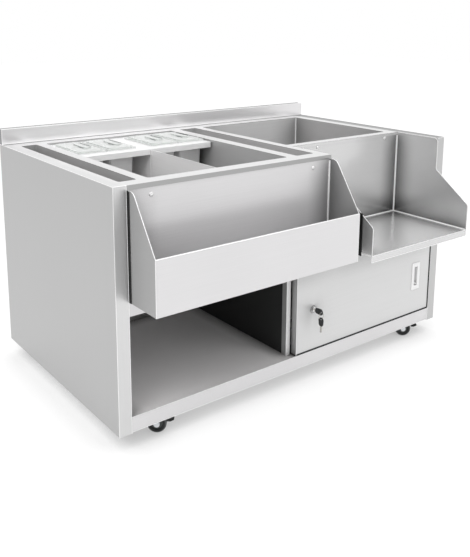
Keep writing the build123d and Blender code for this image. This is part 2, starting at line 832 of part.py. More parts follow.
# Key in the lock: its bow stands upright, with the ring's hole near its outer end
bow_y0 = plug_y - key_neck
bow_y1 = bow_y0 - bow_length
hole_y = bow_y1 + bow_hole_edge
with BuildPart() as key:
    slab(
        cam_x - blade_half, cam_x + blade_half, bow_y0, plug_y + key_insert,
        cam_z - key_blade_width / 2, cam_z + key_blade_width / 2,
    )
    with BuildSketch(Plane.YZ.offset(cam_x - bow_thickness / 2)):
        with Locations(((bow_y0 + bow_y1) / 2, cam_z)):
            RectangleRounded(bow_length, bow_width, bow_width * 0.4)
        with Locations((hole_y, cam_z)):
            Circle(bow_hole, mode=Mode.SUBTRACT)
    extrude(amount=bow_thickness)
write_piece(key, "key")

# Ring and spare key, hanging from the key's bow
ring_top = cam_z - bow_hole + ring_wire + running_gap
ring_z = ring_top - ring_radius
with BuildPart() as key_ring:
    with Locations(Location((cam_x, hole_y, ring_z), (90, 0, 0))):
        Torus(ring_radius, ring_wire)
write_piece(key_ring, "key_ring")

spare_hole_z = ring_z - ring_radius + ring_wire - bow_hole + running_gap
spare_top = spare_hole_z + bow_hole_edge
with BuildPart() as spare_key:
    with BuildSketch(Plane.YZ.offset(cam_x - bow_thickness / 2)):
        with Locations((hole_y, spare_top - spare_bow_length / 2)):
            RectangleRounded(bow_width, spare_bow_length, bow_width * 0.4)
        with Locations((hole_y, spare_hole_z)):
            Circle(bow_hole, mode=Mode.SUBTRACT)
    extrude(amount=bow_thickness)
    blade_z = spare_top - spare_bow_length
    slab(
        cam_x - blade_half, cam_x + blade_half,
        hole_y - key_blade_width / 2, hole_y + key_blade_width / 2,
        blade_z - spare_blade_length, blade_z,
    )
write_piece(spare_key, "spare_key")

# Caster plates with their races and kingpins, and the studs that hold them
plate_under = floor_under - caster_plate_thickness
race_under = plate_under - race_height
crown_top = race_under - running_gap
crown_under = crown_top - crown_thickness
head_top = crown_under - running_gap
with BuildPart() as caster_plates:
    for x, y in caster_spots:
        rounded_prism(
            x - caster_plate / 2, x + caster_plate / 2, y - caster_plate / 2, y + caster_plate / 2,
            plate_under, floor_under, tread_radius,
        )
        with Locations((x, y, plate_under - race_height / 2)):
            Cylinder(race_radius, race_height)
        with Locations((x, y, (head_top + race_under) / 2)):
            Cylinder(kingpin, race_under - head_top)
        with Locations((x, y, head_top - kingpin_head_height / 2)):
            Cylinder(kingpin_head, kingpin_head_height)
        with Locations((x, y, plate_under)):
            with GridLocations(caster_bolt_pitch, caster_bolt_pitch, 2, 2):
                Cylinder(caster_bolt + screw_clearance, 4 * caster_plate_thickness, mode=Mode.SUBTRACT)
write_piece(caster_plates, "caster_plates")

nut_under = plate_under - caster_nut_height
with BuildPart() as caster_studs:
    for x, y in caster_spots:
        with BuildSketch(Plane.XY.offset(plate_under)):
            with Locations((x, y)):
                with GridLocations(caster_bolt_pitch, caster_bolt_pitch, 2, 2):
                    RegularPolygon(caster_nut, 6)
        extrude(amount=-caster_nut_height)
        with BuildSketch(Plane.XY.offset(floor_under)):
            with Locations((x, y)):
                with GridLocations(caster_bolt_pitch, caster_bolt_pitch, 2, 2):
                    Circle(caster_bolt)
        extrude(amount=nut_under - caster_stud_proud - floor_under)
write_piece(caster_studs, "caster_studs")

# Swivel fork with its riveted axle, and the wheel that turns on it, both made round the kingpin
axle_z = wheel_radius
axle_at = (0, -trail, axle_z)
leg_inner = wheel_width / 2 + fork_gap
leg_outer = leg_inner + fork_wall
head_outer = leg_outer + axle_head_height
crown_mid = (crown_top + crown_under) / 2
with BuildPart() as fork_form:
    with Locations((0, 0, crown_mid)):
        Cylinder(crown_radius, crown_thickness)
    upright_hole(0, 0, crown_mid, kingpin + bearing_clearance, 4 * crown_thickness)
    for leg_x in (-leg_outer, leg_inner):
        with BuildSketch(Plane.YZ.offset(leg_x)):
            with Locations((-trail, axle_z)):
                Circle(fork_foot)
            with Locations((-fork_wall, crown_mid)):
                Rectangle(crown_radius, crown_thickness)
            make_hull()
        extrude(amount=fork_wall)
    with Locations(Location(axle_at, (0, 90, 0))):
        Cylinder(axle, 2 * head_outer)
    for head_x in (-leg_outer - axle_head_height / 2, leg_outer + axle_head_height / 2):
        with Locations(Location((head_x, -trail, axle_z), (0, 90, 0))):
            Cylinder(axle_head, axle_head_height)

half = wheel_width / 2
bore_y = axle + bearing_clearance - trail
hub_y = hub_radius - trail
web_y = web_radius - trail
tread_y = wheel_radius - trail
with BuildPart() as wheel_form:
    with BuildSketch(Plane.XY.offset(axle_z)) as section:
        with BuildLine():
            Polyline(
                (-half - hub_proud, bore_y),
                (half + hub_proud, bore_y),
                (half + hub_proud, hub_y),
                (half - web_recess, hub_y),
                (half - web_recess, web_y),
                (half, web_y),
                (half, tread_y),
                (-half, tread_y),
                (-half, web_y),
                (-half + web_recess, web_y),
                (-half + web_recess, hub_y),
                (-half - hub_proud, hub_y),
                close=True,
            )
        make_face()
        fillet(section.vertices().group_by(Axis.Y)[-1], tread_radius)
    revolve(axis=Axis(axle_at, (1, 0, 0)))

# Four casters, each turned a little on its kingpin as after the last move
for number, (x, y) in enumerate(caster_spots, start=1):
    spot = Location((x, y, 0), (0, 0, caster_turn))
    with BuildPart() as fork:
        add(fork_form.part.moved(spot))
    write_piece(fork, f"caster_fork_{number}")
    with BuildPart() as wheel:
        add(wheel_form.part.moved(spot))
    write_piece(wheel, f"caster_wheel_{number}")
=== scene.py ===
"""Looks for a stainless bar cabinet: sheet finishes with painted light and shade, edge and seam beads with
painted highlights, lids, keys and casters.
"""

import logging
import math
from dataclasses import dataclass, field
from enum import Enum

import bmesh
import bpy
from bpy.types import Material, Mesh, Node, NodeSocket, NodeTree, Object
from mathutils import Euler, Matrix, Vector


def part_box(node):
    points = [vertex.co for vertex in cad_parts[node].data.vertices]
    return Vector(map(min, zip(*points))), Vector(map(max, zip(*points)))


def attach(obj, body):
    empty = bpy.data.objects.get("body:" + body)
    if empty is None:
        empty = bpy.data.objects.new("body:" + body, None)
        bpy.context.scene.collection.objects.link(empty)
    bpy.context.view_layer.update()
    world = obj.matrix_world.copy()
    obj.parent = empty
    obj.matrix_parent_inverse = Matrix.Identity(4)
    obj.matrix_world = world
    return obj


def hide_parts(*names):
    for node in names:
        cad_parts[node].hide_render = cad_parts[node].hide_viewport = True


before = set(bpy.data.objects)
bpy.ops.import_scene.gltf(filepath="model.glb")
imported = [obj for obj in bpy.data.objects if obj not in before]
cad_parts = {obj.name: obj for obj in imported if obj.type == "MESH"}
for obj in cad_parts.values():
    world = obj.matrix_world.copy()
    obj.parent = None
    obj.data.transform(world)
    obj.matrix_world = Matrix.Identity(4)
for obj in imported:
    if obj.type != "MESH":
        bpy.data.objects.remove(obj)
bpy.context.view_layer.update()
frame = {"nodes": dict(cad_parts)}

log = logging.getLogger("bar_cabinet")
Flat = tuple[float, float]
Point = tuple[float, float, float]
Path = list[Point]
MM = 0.001
WHITE = (1.0, 1.0, 1.0, 1.0)


class Grain(Enum):
    """Direction in which the sheet was brushed."""

    LENGTHWISE = "along X"
    UPRIGHT = "along Z"


def linear(code: str) -> tuple[float, float, float, float]:
    """Turn an sRGB hex colour into linear RGBA.

    Args:
        code: Colour such as "#C8C8C8".

    Returns:
        Linear red, green, blue and an alpha of 1.
    """
    channels = []
    for start in (1, 3, 5):
        c = int(code[start:start + 2], 16) / 255
        channels.append(c / 12.92 if c <= 0.04045 else ((c + 0.055) / 1.055) ** 2.4)
    return channels[0], channels[1], channels[2], 1.0


def add_node(tree: NodeTree, kind: str, links: dict | None = None, **settings) -> Node:
    """Add one node with its settings, its values and its incoming links.

    Args:
        tree: Tree that gets the node.
        kind: Blender's type name of the node.
        links: Input name or index to a value, or to the socket that feeds it.
        settings: Attributes of the node.

    Returns:
        The new node.
    """
    node = tree.nodes.new(kind)
    for key, value in settings.items():
        setattr(node, key, value)
    for key, value in (links or {}).items():
        socket = node.inputs[key]
        if isinstance(value, NodeSocket):
            tree.links.new(value, socket)
        else:
            socket.default_value = value
    return node


def new_material(name: str) -> tuple[Material, NodeTree, Node]:
    """Make an empty node material.

    Args:
        name: Name of the material.

    Returns:
        The material, its tree and its output node.
    """
    material = bpy.data.materials.new(name)
    material.use_nodes = True
    tree = material.node_tree
    tree.nodes.clear()
    return material, tree, add_node(tree, "ShaderNodeOutputMaterial")


@dataclass(frozen=True)
class BrushedSheet:
    """Austenitic stainless sheet, belt brushed: fine scratches that stretch each highlight across them.

    The tones are those of faces that look along Y, along X and along Z: lit and shaded copies of one steel,
    painted light and shade by where each face looks.
    Inside corners keep only a share of the tone through an ambient occlusion node: painted shade.
    """

    name: str
    front: str
    side: str
    top: str
    roughness: float = 0.34
    metallic: float = 1.0
    grain: Grain = Grain.LENGTHWISE
    depth: float = 0.05
    scratch_mm: float = 1.6
    streak_mm: float = 260.0
    cloud_mm: float = 340.0
    anisotropy: float = 0.5
    gloss_spread: float = 0.03
    relief: float = 0.02
    relief_mm: float = 0.2
    # Share of the tone left in inside corners and reach of the ambient occlusion that finds them: painted
    # shade
    corner: float = 1.0
    corner_mm: float = 120.0
    corner_local: bool = False

    def scratches(self, tree: NodeTree, coords: Node, sideways: NodeSocket) -> NodeSocket:
        """Draw the brushing, which turns with the faces that look sideways.

        Args:
            tree: Tree of the material.
            coords: Texture coordinates.
            sideways: Share by which a face looks along X.

        Returns:
            Height of the scratches.
        """
        # Real scratches are about 0.05 mm apart; they are drawn at 1.6 mm so that they show in the render
        fine = 1 / (self.scratch_mm * MM)
        long = 1 / (self.streak_mm * MM)
        scales = [(fine, fine, long), (fine, fine, long)]
        if self.grain is Grain.LENGTHWISE:
            scales = [(long, fine, fine), (fine, long, fine)]
        layers = []
        for scale in scales:
            place = add_node(tree, "ShaderNodeMapping", {"Vector": coords.outputs["Object"], "Scale": scale})
            layers.append(add_node(tree, "ShaderNodeTexNoise", {
                "Vector": place.outputs[0], "Scale": 1.0, "Detail": 2.0, "Roughness": 0.6}).outputs[0])
        return add_node(tree, "ShaderNodeMix", {
            "Factor": sideways, "A": layers[0], "B": layers[1]}).outputs[0]

    def share(self, tree: NodeTree, worn: NodeSocket) -> NodeSocket:
        """Work out how much of the tone the scratches leave, with inside corners darkened as painted shade.

        Args:
            tree: Tree of the material.
            worn: Sum of the scratches and of the broad clouds.

        Returns:
            Share of the tone, from 0 to 1.
        """
        # Each of the two noises stays near 0.5, so their sum stays near 1
        left = add_node(tree, "ShaderNodeMapRange", {
            "Value": worn, "From Min": 0.7, "From Max": 1.3, "To Min": 1 - self.depth, "To Max": 1.0})
        if self.corner >= 1.0:
            return left.outputs[0]
        # Ambient occlusion darkens inside corners: painted shade
        reach = add_node(tree, "ShaderNodeAmbientOcclusion", {"Distance": self.corner_mm * MM}, samples=6,
                         only_local=self.corner_local)
        painted_corner_shade = add_node(tree, "ShaderNodeMapRange", {
            "Value": reach.outputs["AO"], "From Min": 0.25, "To Min": self.corner, "To Max": 1.0})
        return add_node(tree, "ShaderNodeMath", {
            0: left.outputs[0], 1: painted_corner_shade.outputs[0]}, operation="MULTIPLY").outputs[0]

    def build(self) -> Material:
        """Make the node material of this sheet."""
        material, tree, out = new_material(self.name)
        coords = add_node(tree, "ShaderNodeTexCoord")
        facing = add_node(tree, "ShaderNodeVectorMath", {0: coords.outputs["Normal"]}, operation="ABSOLUTE")
        split = add_node(tree, "ShaderNodeSeparateXYZ", {0: facing.outputs[0]})
        scratch = self.scratches(tree, coords, split.outputs["X"])
        cloud = add_node(tree, "ShaderNodeTexNoise", {
            "Vector": coords.outputs["Object"], "Scale": 1 / (self.cloud_mm * MM), "Detail": 1.0})
        worn = add_node(tree, "ShaderNodeMath", {0: scratch, 1: cloud.outputs[0]}, operation="ADD").outputs[0]
        # Faces that look along X and along Z take their own tones: painted light and shade by facing
        across = add_node(tree, "ShaderNodeMix", {
            "Factor": split.outputs["X"], "A": linear(self.front), "B": linear(self.side)}, data_type="RGBA")
        tone = add_node(tree, "ShaderNodeMix", {
            "Factor": split.outputs["Z"], "A": across.outputs["Result"], "B": linear(self.top)},
            data_type="RGBA")
        colour = add_node(tree, "ShaderNodeVectorMath", {
            0: tone.outputs["Result"], "Scale": self.share(tree, worn)}, operation="SCALE")
        rough = add_node(tree, "ShaderNodeMapRange", {
            "Value": worn, "From Min": 0.6, "From Max": 1.4, "To Min": self.roughness - self.gloss_spread,
            "To Max": self.roughness + self.gloss_spread})
        bump = add_node(tree, "ShaderNodeBump", {
            "Height": scratch, "Strength": self.relief, "Distance": self.relief_mm * MM})
        shader = add_node(tree, "ShaderNodeBsdfPrincipled", {
            "Base Color": colour.outputs[0], "Roughness": rough.outputs[0], "Normal": bump.outputs[0],
            "Metallic": self.metallic, "Anisotropic": self.anisotropy})
        tree.links.new(shader.outputs[0], out.inputs[0])
        return material


@dataclass(frozen=True)
class PolishedMetal:
    """Buffed or plated metal: smooth, with faint buffing swirls and slightly uneven gloss."""

    name: str
    tone: str
    shade: str
    roughness: float
    swirl_mm: float = 3.0
    metallic: float = 1.0
    gloss_spread: float = 0.06
    relief: float = 0.05
    relief_mm: float = 0.3

    def build(self) -> Material:
        """Make the node material of this metal."""
        material, tree, out = new_material(self.name)
        coords = add_node(tree, "ShaderNodeTexCoord")
        swirl = add_node(tree, "ShaderNodeTexNoise", {
            "Vector": coords.outputs["Object"], "Scale": 1 / (self.swirl_mm * MM), "Detail": 3.0,
            "Distortion": 0.6}).outputs[0]
        colour = add_node(tree, "ShaderNodeMix", {
            "Factor": swirl, "A": linear(self.shade), "B": linear(self.tone)}, data_type="RGBA")
        rough = add_node(tree, "ShaderNodeMapRange", {
            "Value": swirl, "To Min": self.roughness - self.gloss_spread,
            "To Max": self.roughness + self.gloss_spread})
        bump = add_node(tree, "ShaderNodeBump", {
            "Height": swirl, "Strength": self.relief, "Distance": self.relief_mm * MM})
        shader = add_node(tree, "ShaderNodeBsdfPrincipled", {
            "Base Color": colour.outputs["Result"], "Roughness": rough.outputs[0],
            "Normal": bump.outputs[0], "Metallic": self.metallic})
        tree.links.new(shader.outputs[0], out.inputs[0])
        return material


@dataclass(frozen=True)
class MouldedPlastic:
    """Moulded plastic or rubber: a matt skin with a fine spark-eroded texture."""

    name: str
    tone: str
    shade: str
    roughness: float
    texture_mm: float
    cloud_mm: float = 25.0
    relief: float = 0.15
    relief_mm: float = 0.3

    def build(self) -> Material:
        """Make the node material of this plastic."""
        material, tree, out = new_material(self.name)
        coords = add_node(tree, "ShaderNodeTexCoord")
        skin, cloud = (add_node(tree, "ShaderNodeTexNoise", {
            "Vector": coords.outputs["Object"], "Scale": 1 / (size_mm * MM), "Detail": 2.0}).outputs[0]
            for size_mm in (self.texture_mm, self.cloud_mm))
        colour = add_node(tree, "ShaderNodeMix", {
            "Factor": cloud, "A": linear(self.shade), "B": linear(self.tone)}, data_type="RGBA")
        bump = add_node(tree, "ShaderNodeBump", {
            "Height": skin, "Strength": self.relief, "Distance": self.relief_mm * MM})
        shader = add_node(tree, "ShaderNodeBsdfPrincipled", {
            "Base Color": colour.outputs["Result"], "Roughness": self.roughness, "Normal": bump.outputs[0],
            "IOR": 1.5})
        tree.links.new(shader.outputs[0], out.inputs[0])
        return material


@dataclass(frozen=True)
class ClearMoulding:
    """Polycarbonate, injection moulded and often washed: half clear, slightly milky and wavy."""

    name: str
    tone: str = "#F4F7F5"
    roughness: float = 0.16
    clearness: float = 0.4
    wave_mm: float = 18.0
    relief: float = 0.12
    relief_mm: float = 1.0

    def build(self) -> Material:
        """Make the node material of this plastic."""
        material, tree, out = new_material(self.name)
        coords = add_node(tree, "ShaderNodeTexCoord")
        wave = add_node(tree, "ShaderNodeTexNoise", {
            "Vector": coords.outputs["Object"], "Scale": 1 / (self.wave_mm * MM), "Detail": 1.0})
        bump = add_node(tree, "ShaderNodeBump", {
            "Height": wave.outputs[0], "Strength": self.relief, "Distance": self.relief_mm * MM})
        shader = add_node(tree, "ShaderNodeBsdfPrincipled", {
            "Base Color": linear(self.tone), "Roughness": self.roughness, "IOR": 1.58,
            "Transmission Weight": self.clearness, "Normal": bump.outputs[0]})
        tree.links.new(shader.outputs[0], out.inputs[0])
        return material


@dataclass(frozen=True)
class CasterTread:
    """Caster wheel: a dark thermoplastic tread on a grey moulded centre, with the moulding's ring grooves."""

    name: str
    centre: Point
    axle: Point
    ring_from: float
    tread_from: float
    groove_mm: float = 3.2
    groove_tone: float = 0.6
    roughness: float = 0.48
    relief: float = 0.3
    relief_mm: float = 0.6
    tread: str = "#565959"
    ring: str = "#1A1D1D"
    core: str = "#4C5150"

    def build(self) -> Material:
        """Make the node material of this wheel."""
        material, tree, out = new_material(self.name)
        coords = add_node(tree, "ShaderNodeTexCoord")
        local = add_node(tree, "ShaderNodeVectorMath", {
            0: coords.outputs["Object"], 1: self.centre}, operation="SUBTRACT")
        flat = add_node(tree, "ShaderNodeVectorMath", {
            0: local.outputs[0], 1: self.axle}, operation="CROSS_PRODUCT")
        reach = add_node(tree, "ShaderNodeVectorMath", {
            0: flat.outputs[0]}, operation="LENGTH").outputs["Value"]
        colour = linear(self.core)
        for start, zone in ((self.ring_from, self.ring), (self.tread_from, self.tread)):
            past = add_node(tree, "ShaderNodeMath", {0: reach, 1: start}, operation="GREATER_THAN")
            blend = add_node(tree, "ShaderNodeMix", {
                "Factor": past.outputs[0], "A": colour, "B": linear(zone)}, data_type="RGBA")
            colour = blend.outputs["Result"]
        turns = add_node(tree, "ShaderNodeMath", {
            0: reach, 1: 2 * math.pi / (self.groove_mm * MM)}, operation="MULTIPLY")
        groove = add_node(tree, "ShaderNodeMath", {0: turns.outputs[0]}, operation="SINE").outputs[0]
        # The ring grooves are darker in colour as well as in relief: painted shade in their hollows
        shade = add_node(tree, "ShaderNodeMapRange", {
            "Value": groove, "From Min": -1.0, "From Max": 1.0, "To Min": self.groove_tone, "To Max": 1.0})
        dark = add_node(tree, "ShaderNodeVectorMath", {
            0: colour, "Scale": shade.outputs[0]}, operation="SCALE")
        bump = add_node(tree, "ShaderNodeBump", {
            "Height": groove, "Strength": self.relief, "Distance": self.relief_mm * MM})
        shader = add_node(tree, "ShaderNodeBsdfPrincipled", {
            "Base Color": dark.outputs[0], "Roughness": self.roughness, "Normal": bump.outputs[0]})
        tree.links.new(shader.outputs[0], out.inputs[0])
        return material


def wear(finish: Material, *nodes: str) -> None:
    """Cover CAD nodes with one finish.

    Args:
        finish: Material that covers them.
        nodes: Names of the CAD nodes.
    """
    for node in nodes:
        mesh = frame["nodes"][node].data
        mesh.materials.clear()
        mesh.materials.append(finish)


def plain_object(name: str, mesh: Mesh) -> Object:
    """Link a mesh as an object at the origin."""
    piece = bpy.data.objects.new(name, mesh)
    bpy.context.scene.collection.objects.link(piece)
    return piece


def write_out(name: str, work: bmesh.types.BMesh) -> Object:
    """Turn a mesh in work into an object at the origin.

    Args:
        name: Name of the object.
        work: Mesh in work, which is freed.

    Returns:
        The new object.
    """
    mesh = bpy.data.meshes.new(name)
    work.to_mesh(mesh)
    work.free()
    return plain_object(name, mesh)


def settle(name: str, source: Object) -> Object:
    """Turn an object with modifiers or curves into a plain mesh object.

    Args:
        name: Name of the new piece.
        source: Object that is evaluated and then removed.

    Returns:
        The plain mesh object.
    """
    bpy.context.view_layer.update()
    graph = bpy.context.evaluated_depsgraph_get()
    mesh = bpy.data.meshes.new_from_object(source.evaluated_get(graph), depsgraph=graph)
    mesh.transform(source.matrix_world)
    bpy.data.objects.remove(source)
    mesh.name = name
    return plain_object(name, mesh)


class PieceTree:
    """Geometry Nodes tree that makes one plain piece from the points or paths of a guide."""

    def __init__(self, name: str, inputs: dict[str, str]) -> None:
        """Open the tree with its named inputs.

        Args:
            name: Name of the tree.
            inputs: Name and socket type of each input besides the geometry and the finish.
        """
        self.tree = bpy.data.node_groups.new(name, "GeometryNodeTree")
        face = self.tree.interface
        face.new_socket("Geometry", in_out="OUTPUT", socket_type="NodeSocketGeometry")
        for label, kind in {"Geometry": "Geometry", **inputs, "Finish": "Material"}.items():
            face.new_socket(label, in_out="INPUT", socket_type=f"NodeSocket{kind}")
        self.start = add_node(self.tree, "NodeGroupInput")

    def close(self, shape: NodeSocket) -> None:
        """End the tree with real geometry in the chosen finish.

        Args:
            shape: Geometry that the tree has made.
        """
        real = add_node(self.tree, "GeometryNodeRealizeInstances", {0: shape})
        dressed = add_node(self.tree, "GeometryNodeSetMaterial", {
            "Geometry": real.outputs[0], "Material": self.start.outputs["Finish"]})
        add_node(self.tree, "NodeGroupOutput", {0: dressed.outputs[0]})

    def make(self, name: str, points: Path, edges: list[tuple[int, int]], values: dict) -> Object:
        """Run the tree on a guide.

        Args:
            name: Name of the piece.
            points: Points of the guide, in metres.
            edges: Pairs of point numbers that form its paths.
            values: Value of each named input.

        Returns:
            The plain mesh piece.
        """
        mesh = bpy.data.meshes.new(name)
        mesh.from_pydata(points, edges, [])
        guide = plain_object(name + "_guide", mesh)
        modifier = guide.modifiers.new("piece", "NODES")
        modifier.node_group = self.tree
        keys = {s.name: s.identifier for s in self.tree.interface.items_tree if s.in_out == "INPUT"}
        for label, value in values.items():
            modifier[keys[label]] = value
        return settle(name, guide)


class BeadTree(PieceTree):
    """Tree that runs a round bead along every path of a guide."""

    def __init__(self) -> None:
        """Build the tree with a radius for the bead and one for the paths' corners."""
        super().__init__("edge_bead", {"Radius": "Float", "Corner": "Float"})
        tree, start = self.tree, self.start
        path = add_node(tree, "GeometryNodeMeshToCurve", {0: start.outputs["Geometry"]})
        round_path = add_node(tree, "GeometryNodeFilletCurve", {
            "Curve": path.outputs[0], "Radius": start.outputs["Corner"], "Count": 6, "Limit Radius": True},
            mode="POLY")
        ring = add_node(tree, "GeometryNodeCurvePrimitiveCircle", {
            "Resolution": 10, "Radius": start.outputs["Radius"]})
        tube = add_node(tree, "GeometryNodeCurveToMesh", {
            "Curve": round_path.outputs[0], "Profile Curve": ring.outputs[0], "Fill Caps": True})
        smooth = add_node(tree, "GeometryNodeSetShadeSmooth", {"Geometry": tube.outputs[0]})
        self.close(smooth.outputs[0])

    def run(self, name: str, paths: list[Path], radius: float, finish: Material,
            corner: float = 0.0) -> Object:
        """Sweep a bead along paths.

        Args:
            name: Name of the piece.
            paths: Corner points of each path, in metres.
            radius: Radius of the bead, in metres.
            finish: Material of the bead.
            corner: Radius at the paths' corners, in metres.

        Returns:
            The plain mesh piece.
        """
        points, edges = [], []
        for path in paths:
            first = len(points)
            points += path
            edges += [(first + i, first + i + 1) for i in range(len(path) - 1)]
        return self.make(name, points, edges, {"Radius": radius, "Corner": corner, "Finish": finish})


class FastenerTree(PieceTree):
    """Tree that sets a copy of one fastener on every point of a guide."""

    def __init__(self) -> None:
        """Build the tree with the fastener and its direction."""
        super().__init__("fastener_row", {"Fastener": "Object", "Outward": "Vector"})
        tree, start = self.tree, self.start
        source = add_node(tree, "GeometryNodeObjectInfo", {"Object": start.outputs["Fastener"]})
        turn = add_node(tree, "FunctionNodeAlignRotationToVector", {
            "Vector": start.outputs["Outward"]}, axis="Z")
        copies = add_node(tree, "GeometryNodeInstanceOnPoints", {
            "Points": start.outputs["Geometry"], "Instance": source.outputs["Geometry"],
            "Rotation": turn.outputs[0]})
        self.close(copies.outputs[0])

    def run(self, name: str, fastener: Object, points: Path, outward: Point, finish: Material) -> Object:
        """Set fasteners on points.

        Args:
            name: Name of the piece.
            fastener: Object that is copied and then removed; its head points along its own +Z.
            points: Seats of the fasteners, in metres.
            outward: Direction in which the heads point.
            finish: Material of the fasteners.

        Returns:
            The plain mesh piece.
        """
        piece = self.make(name, points, [], {"Fastener": fastener, "Outward": outward, "Finish": finish})
        bpy.data.objects.remove(fastener)
        return piece


def prism(name: str, outline: Path, reach: Point, finish: Material) -> Object:
    """Push a flat outline along a direction into a closed solid.

    Args:
        name: Name of the piece.
        outline: Corners of the outline in order, in metres.
        reach: Vector by which the outline is pushed, in metres.
        finish: Material of the solid.

    Returns:
        The solid as a plain mesh object.
    """
    work = bmesh.new()
    near = [work.verts.new(point) for point in outline]
    far = [work.verts.new(Vector(point) + Vector(reach)) for point in outline]
    work.faces.new(near)
    work.faces.new(list(reversed(far)))
    for k in range(len(near)):
        after = (k + 1) % len(near)
        work.faces.new((near[after], near[k], far[k], far[after]))
    bmesh.ops.recalc_face_normals(work, faces=work.faces)
    piece = write_out(name, work)
    piece.data.materials.append(finish)
    return piece


def turned_head(name: str, profile: list[Flat], steps: int) -> Object:
    """Turn a head profile round Z.

    Args:
        name: Name of the object.
        profile: Radius and height of each point, in metres, from rim to crown.
        steps: Facets round the head.

    Returns:
        The turned object at the origin.
    """
    work = bmesh.new()
    angles = [2 * math.pi * k / steps for k in range(steps)]
    rings = [[work.verts.new((radius * math.cos(a), radius * math.sin(a), height)) for a in angles]
             for radius, height in profile]
    for low, high in zip(rings, rings[1:]):
        for k in range(steps):
            work.faces.new((low[k], low[(k + 1) % steps], high[(k + 1) % steps], high[k]))
    work.faces.new(rings[-1])
    work.faces.new(list(reversed(rings[0])))
    for face in work.faces:
        face.smooth = len(face.verts) == 4
    return write_out(name, work)


def cross_head(name: str, radius: float, height: float) -> Object:
    """Make a domed screw head with a cross recess.

    Args:
        name: Name of the object.
        radius: Radius of the head, in metres.
        height: Height of the dome, in metres.

    Returns:
        The head, with its seat at the origin and its crown along +Z.
    """
    sunk, steps = 0.0002, 20
    recess_long, recess_wide = 1.1 * radius, 0.24 * radius
    angles = [math.radians(degrees) for degrees in (0, 20, 40, 58, 74)]
    dome = [(radius * math.cos(a), height * math.sin(a)) for a in angles]
    head = turned_head(name, [(radius, -sunk)] + dome, steps)
    cutters = []
    for turn in (0.0, math.pi / 2):
        work = bmesh.new()
        bmesh.ops.create_cube(work, size=1.0)
        bmesh.ops.scale(work, vec=(recess_long, recess_wide, height), verts=work.verts)
        bmesh.ops.translate(work, vec=(0, 0, height), verts=work.verts)
        bmesh.ops.rotate(work, matrix=Matrix.Rotation(turn, 3, "Z"), verts=work.verts)
        cutters.append(write_out(name + "_cut", work))
        cut = head.modifiers.new("recess", "BOOLEAN")
        cut.operation = "DIFFERENCE"
        cut.object = cutters[-1]
    done = settle(name, head)
    for cutter in cutters:
        bpy.data.objects.remove(cutter)
    return done


def coat(finish: BrushedSheet | PolishedMetal | MouldedPlastic | ClearMoulding) -> Material:
    """Make a field that holds the material of a finish."""
    return field(default_factory=finish.build)


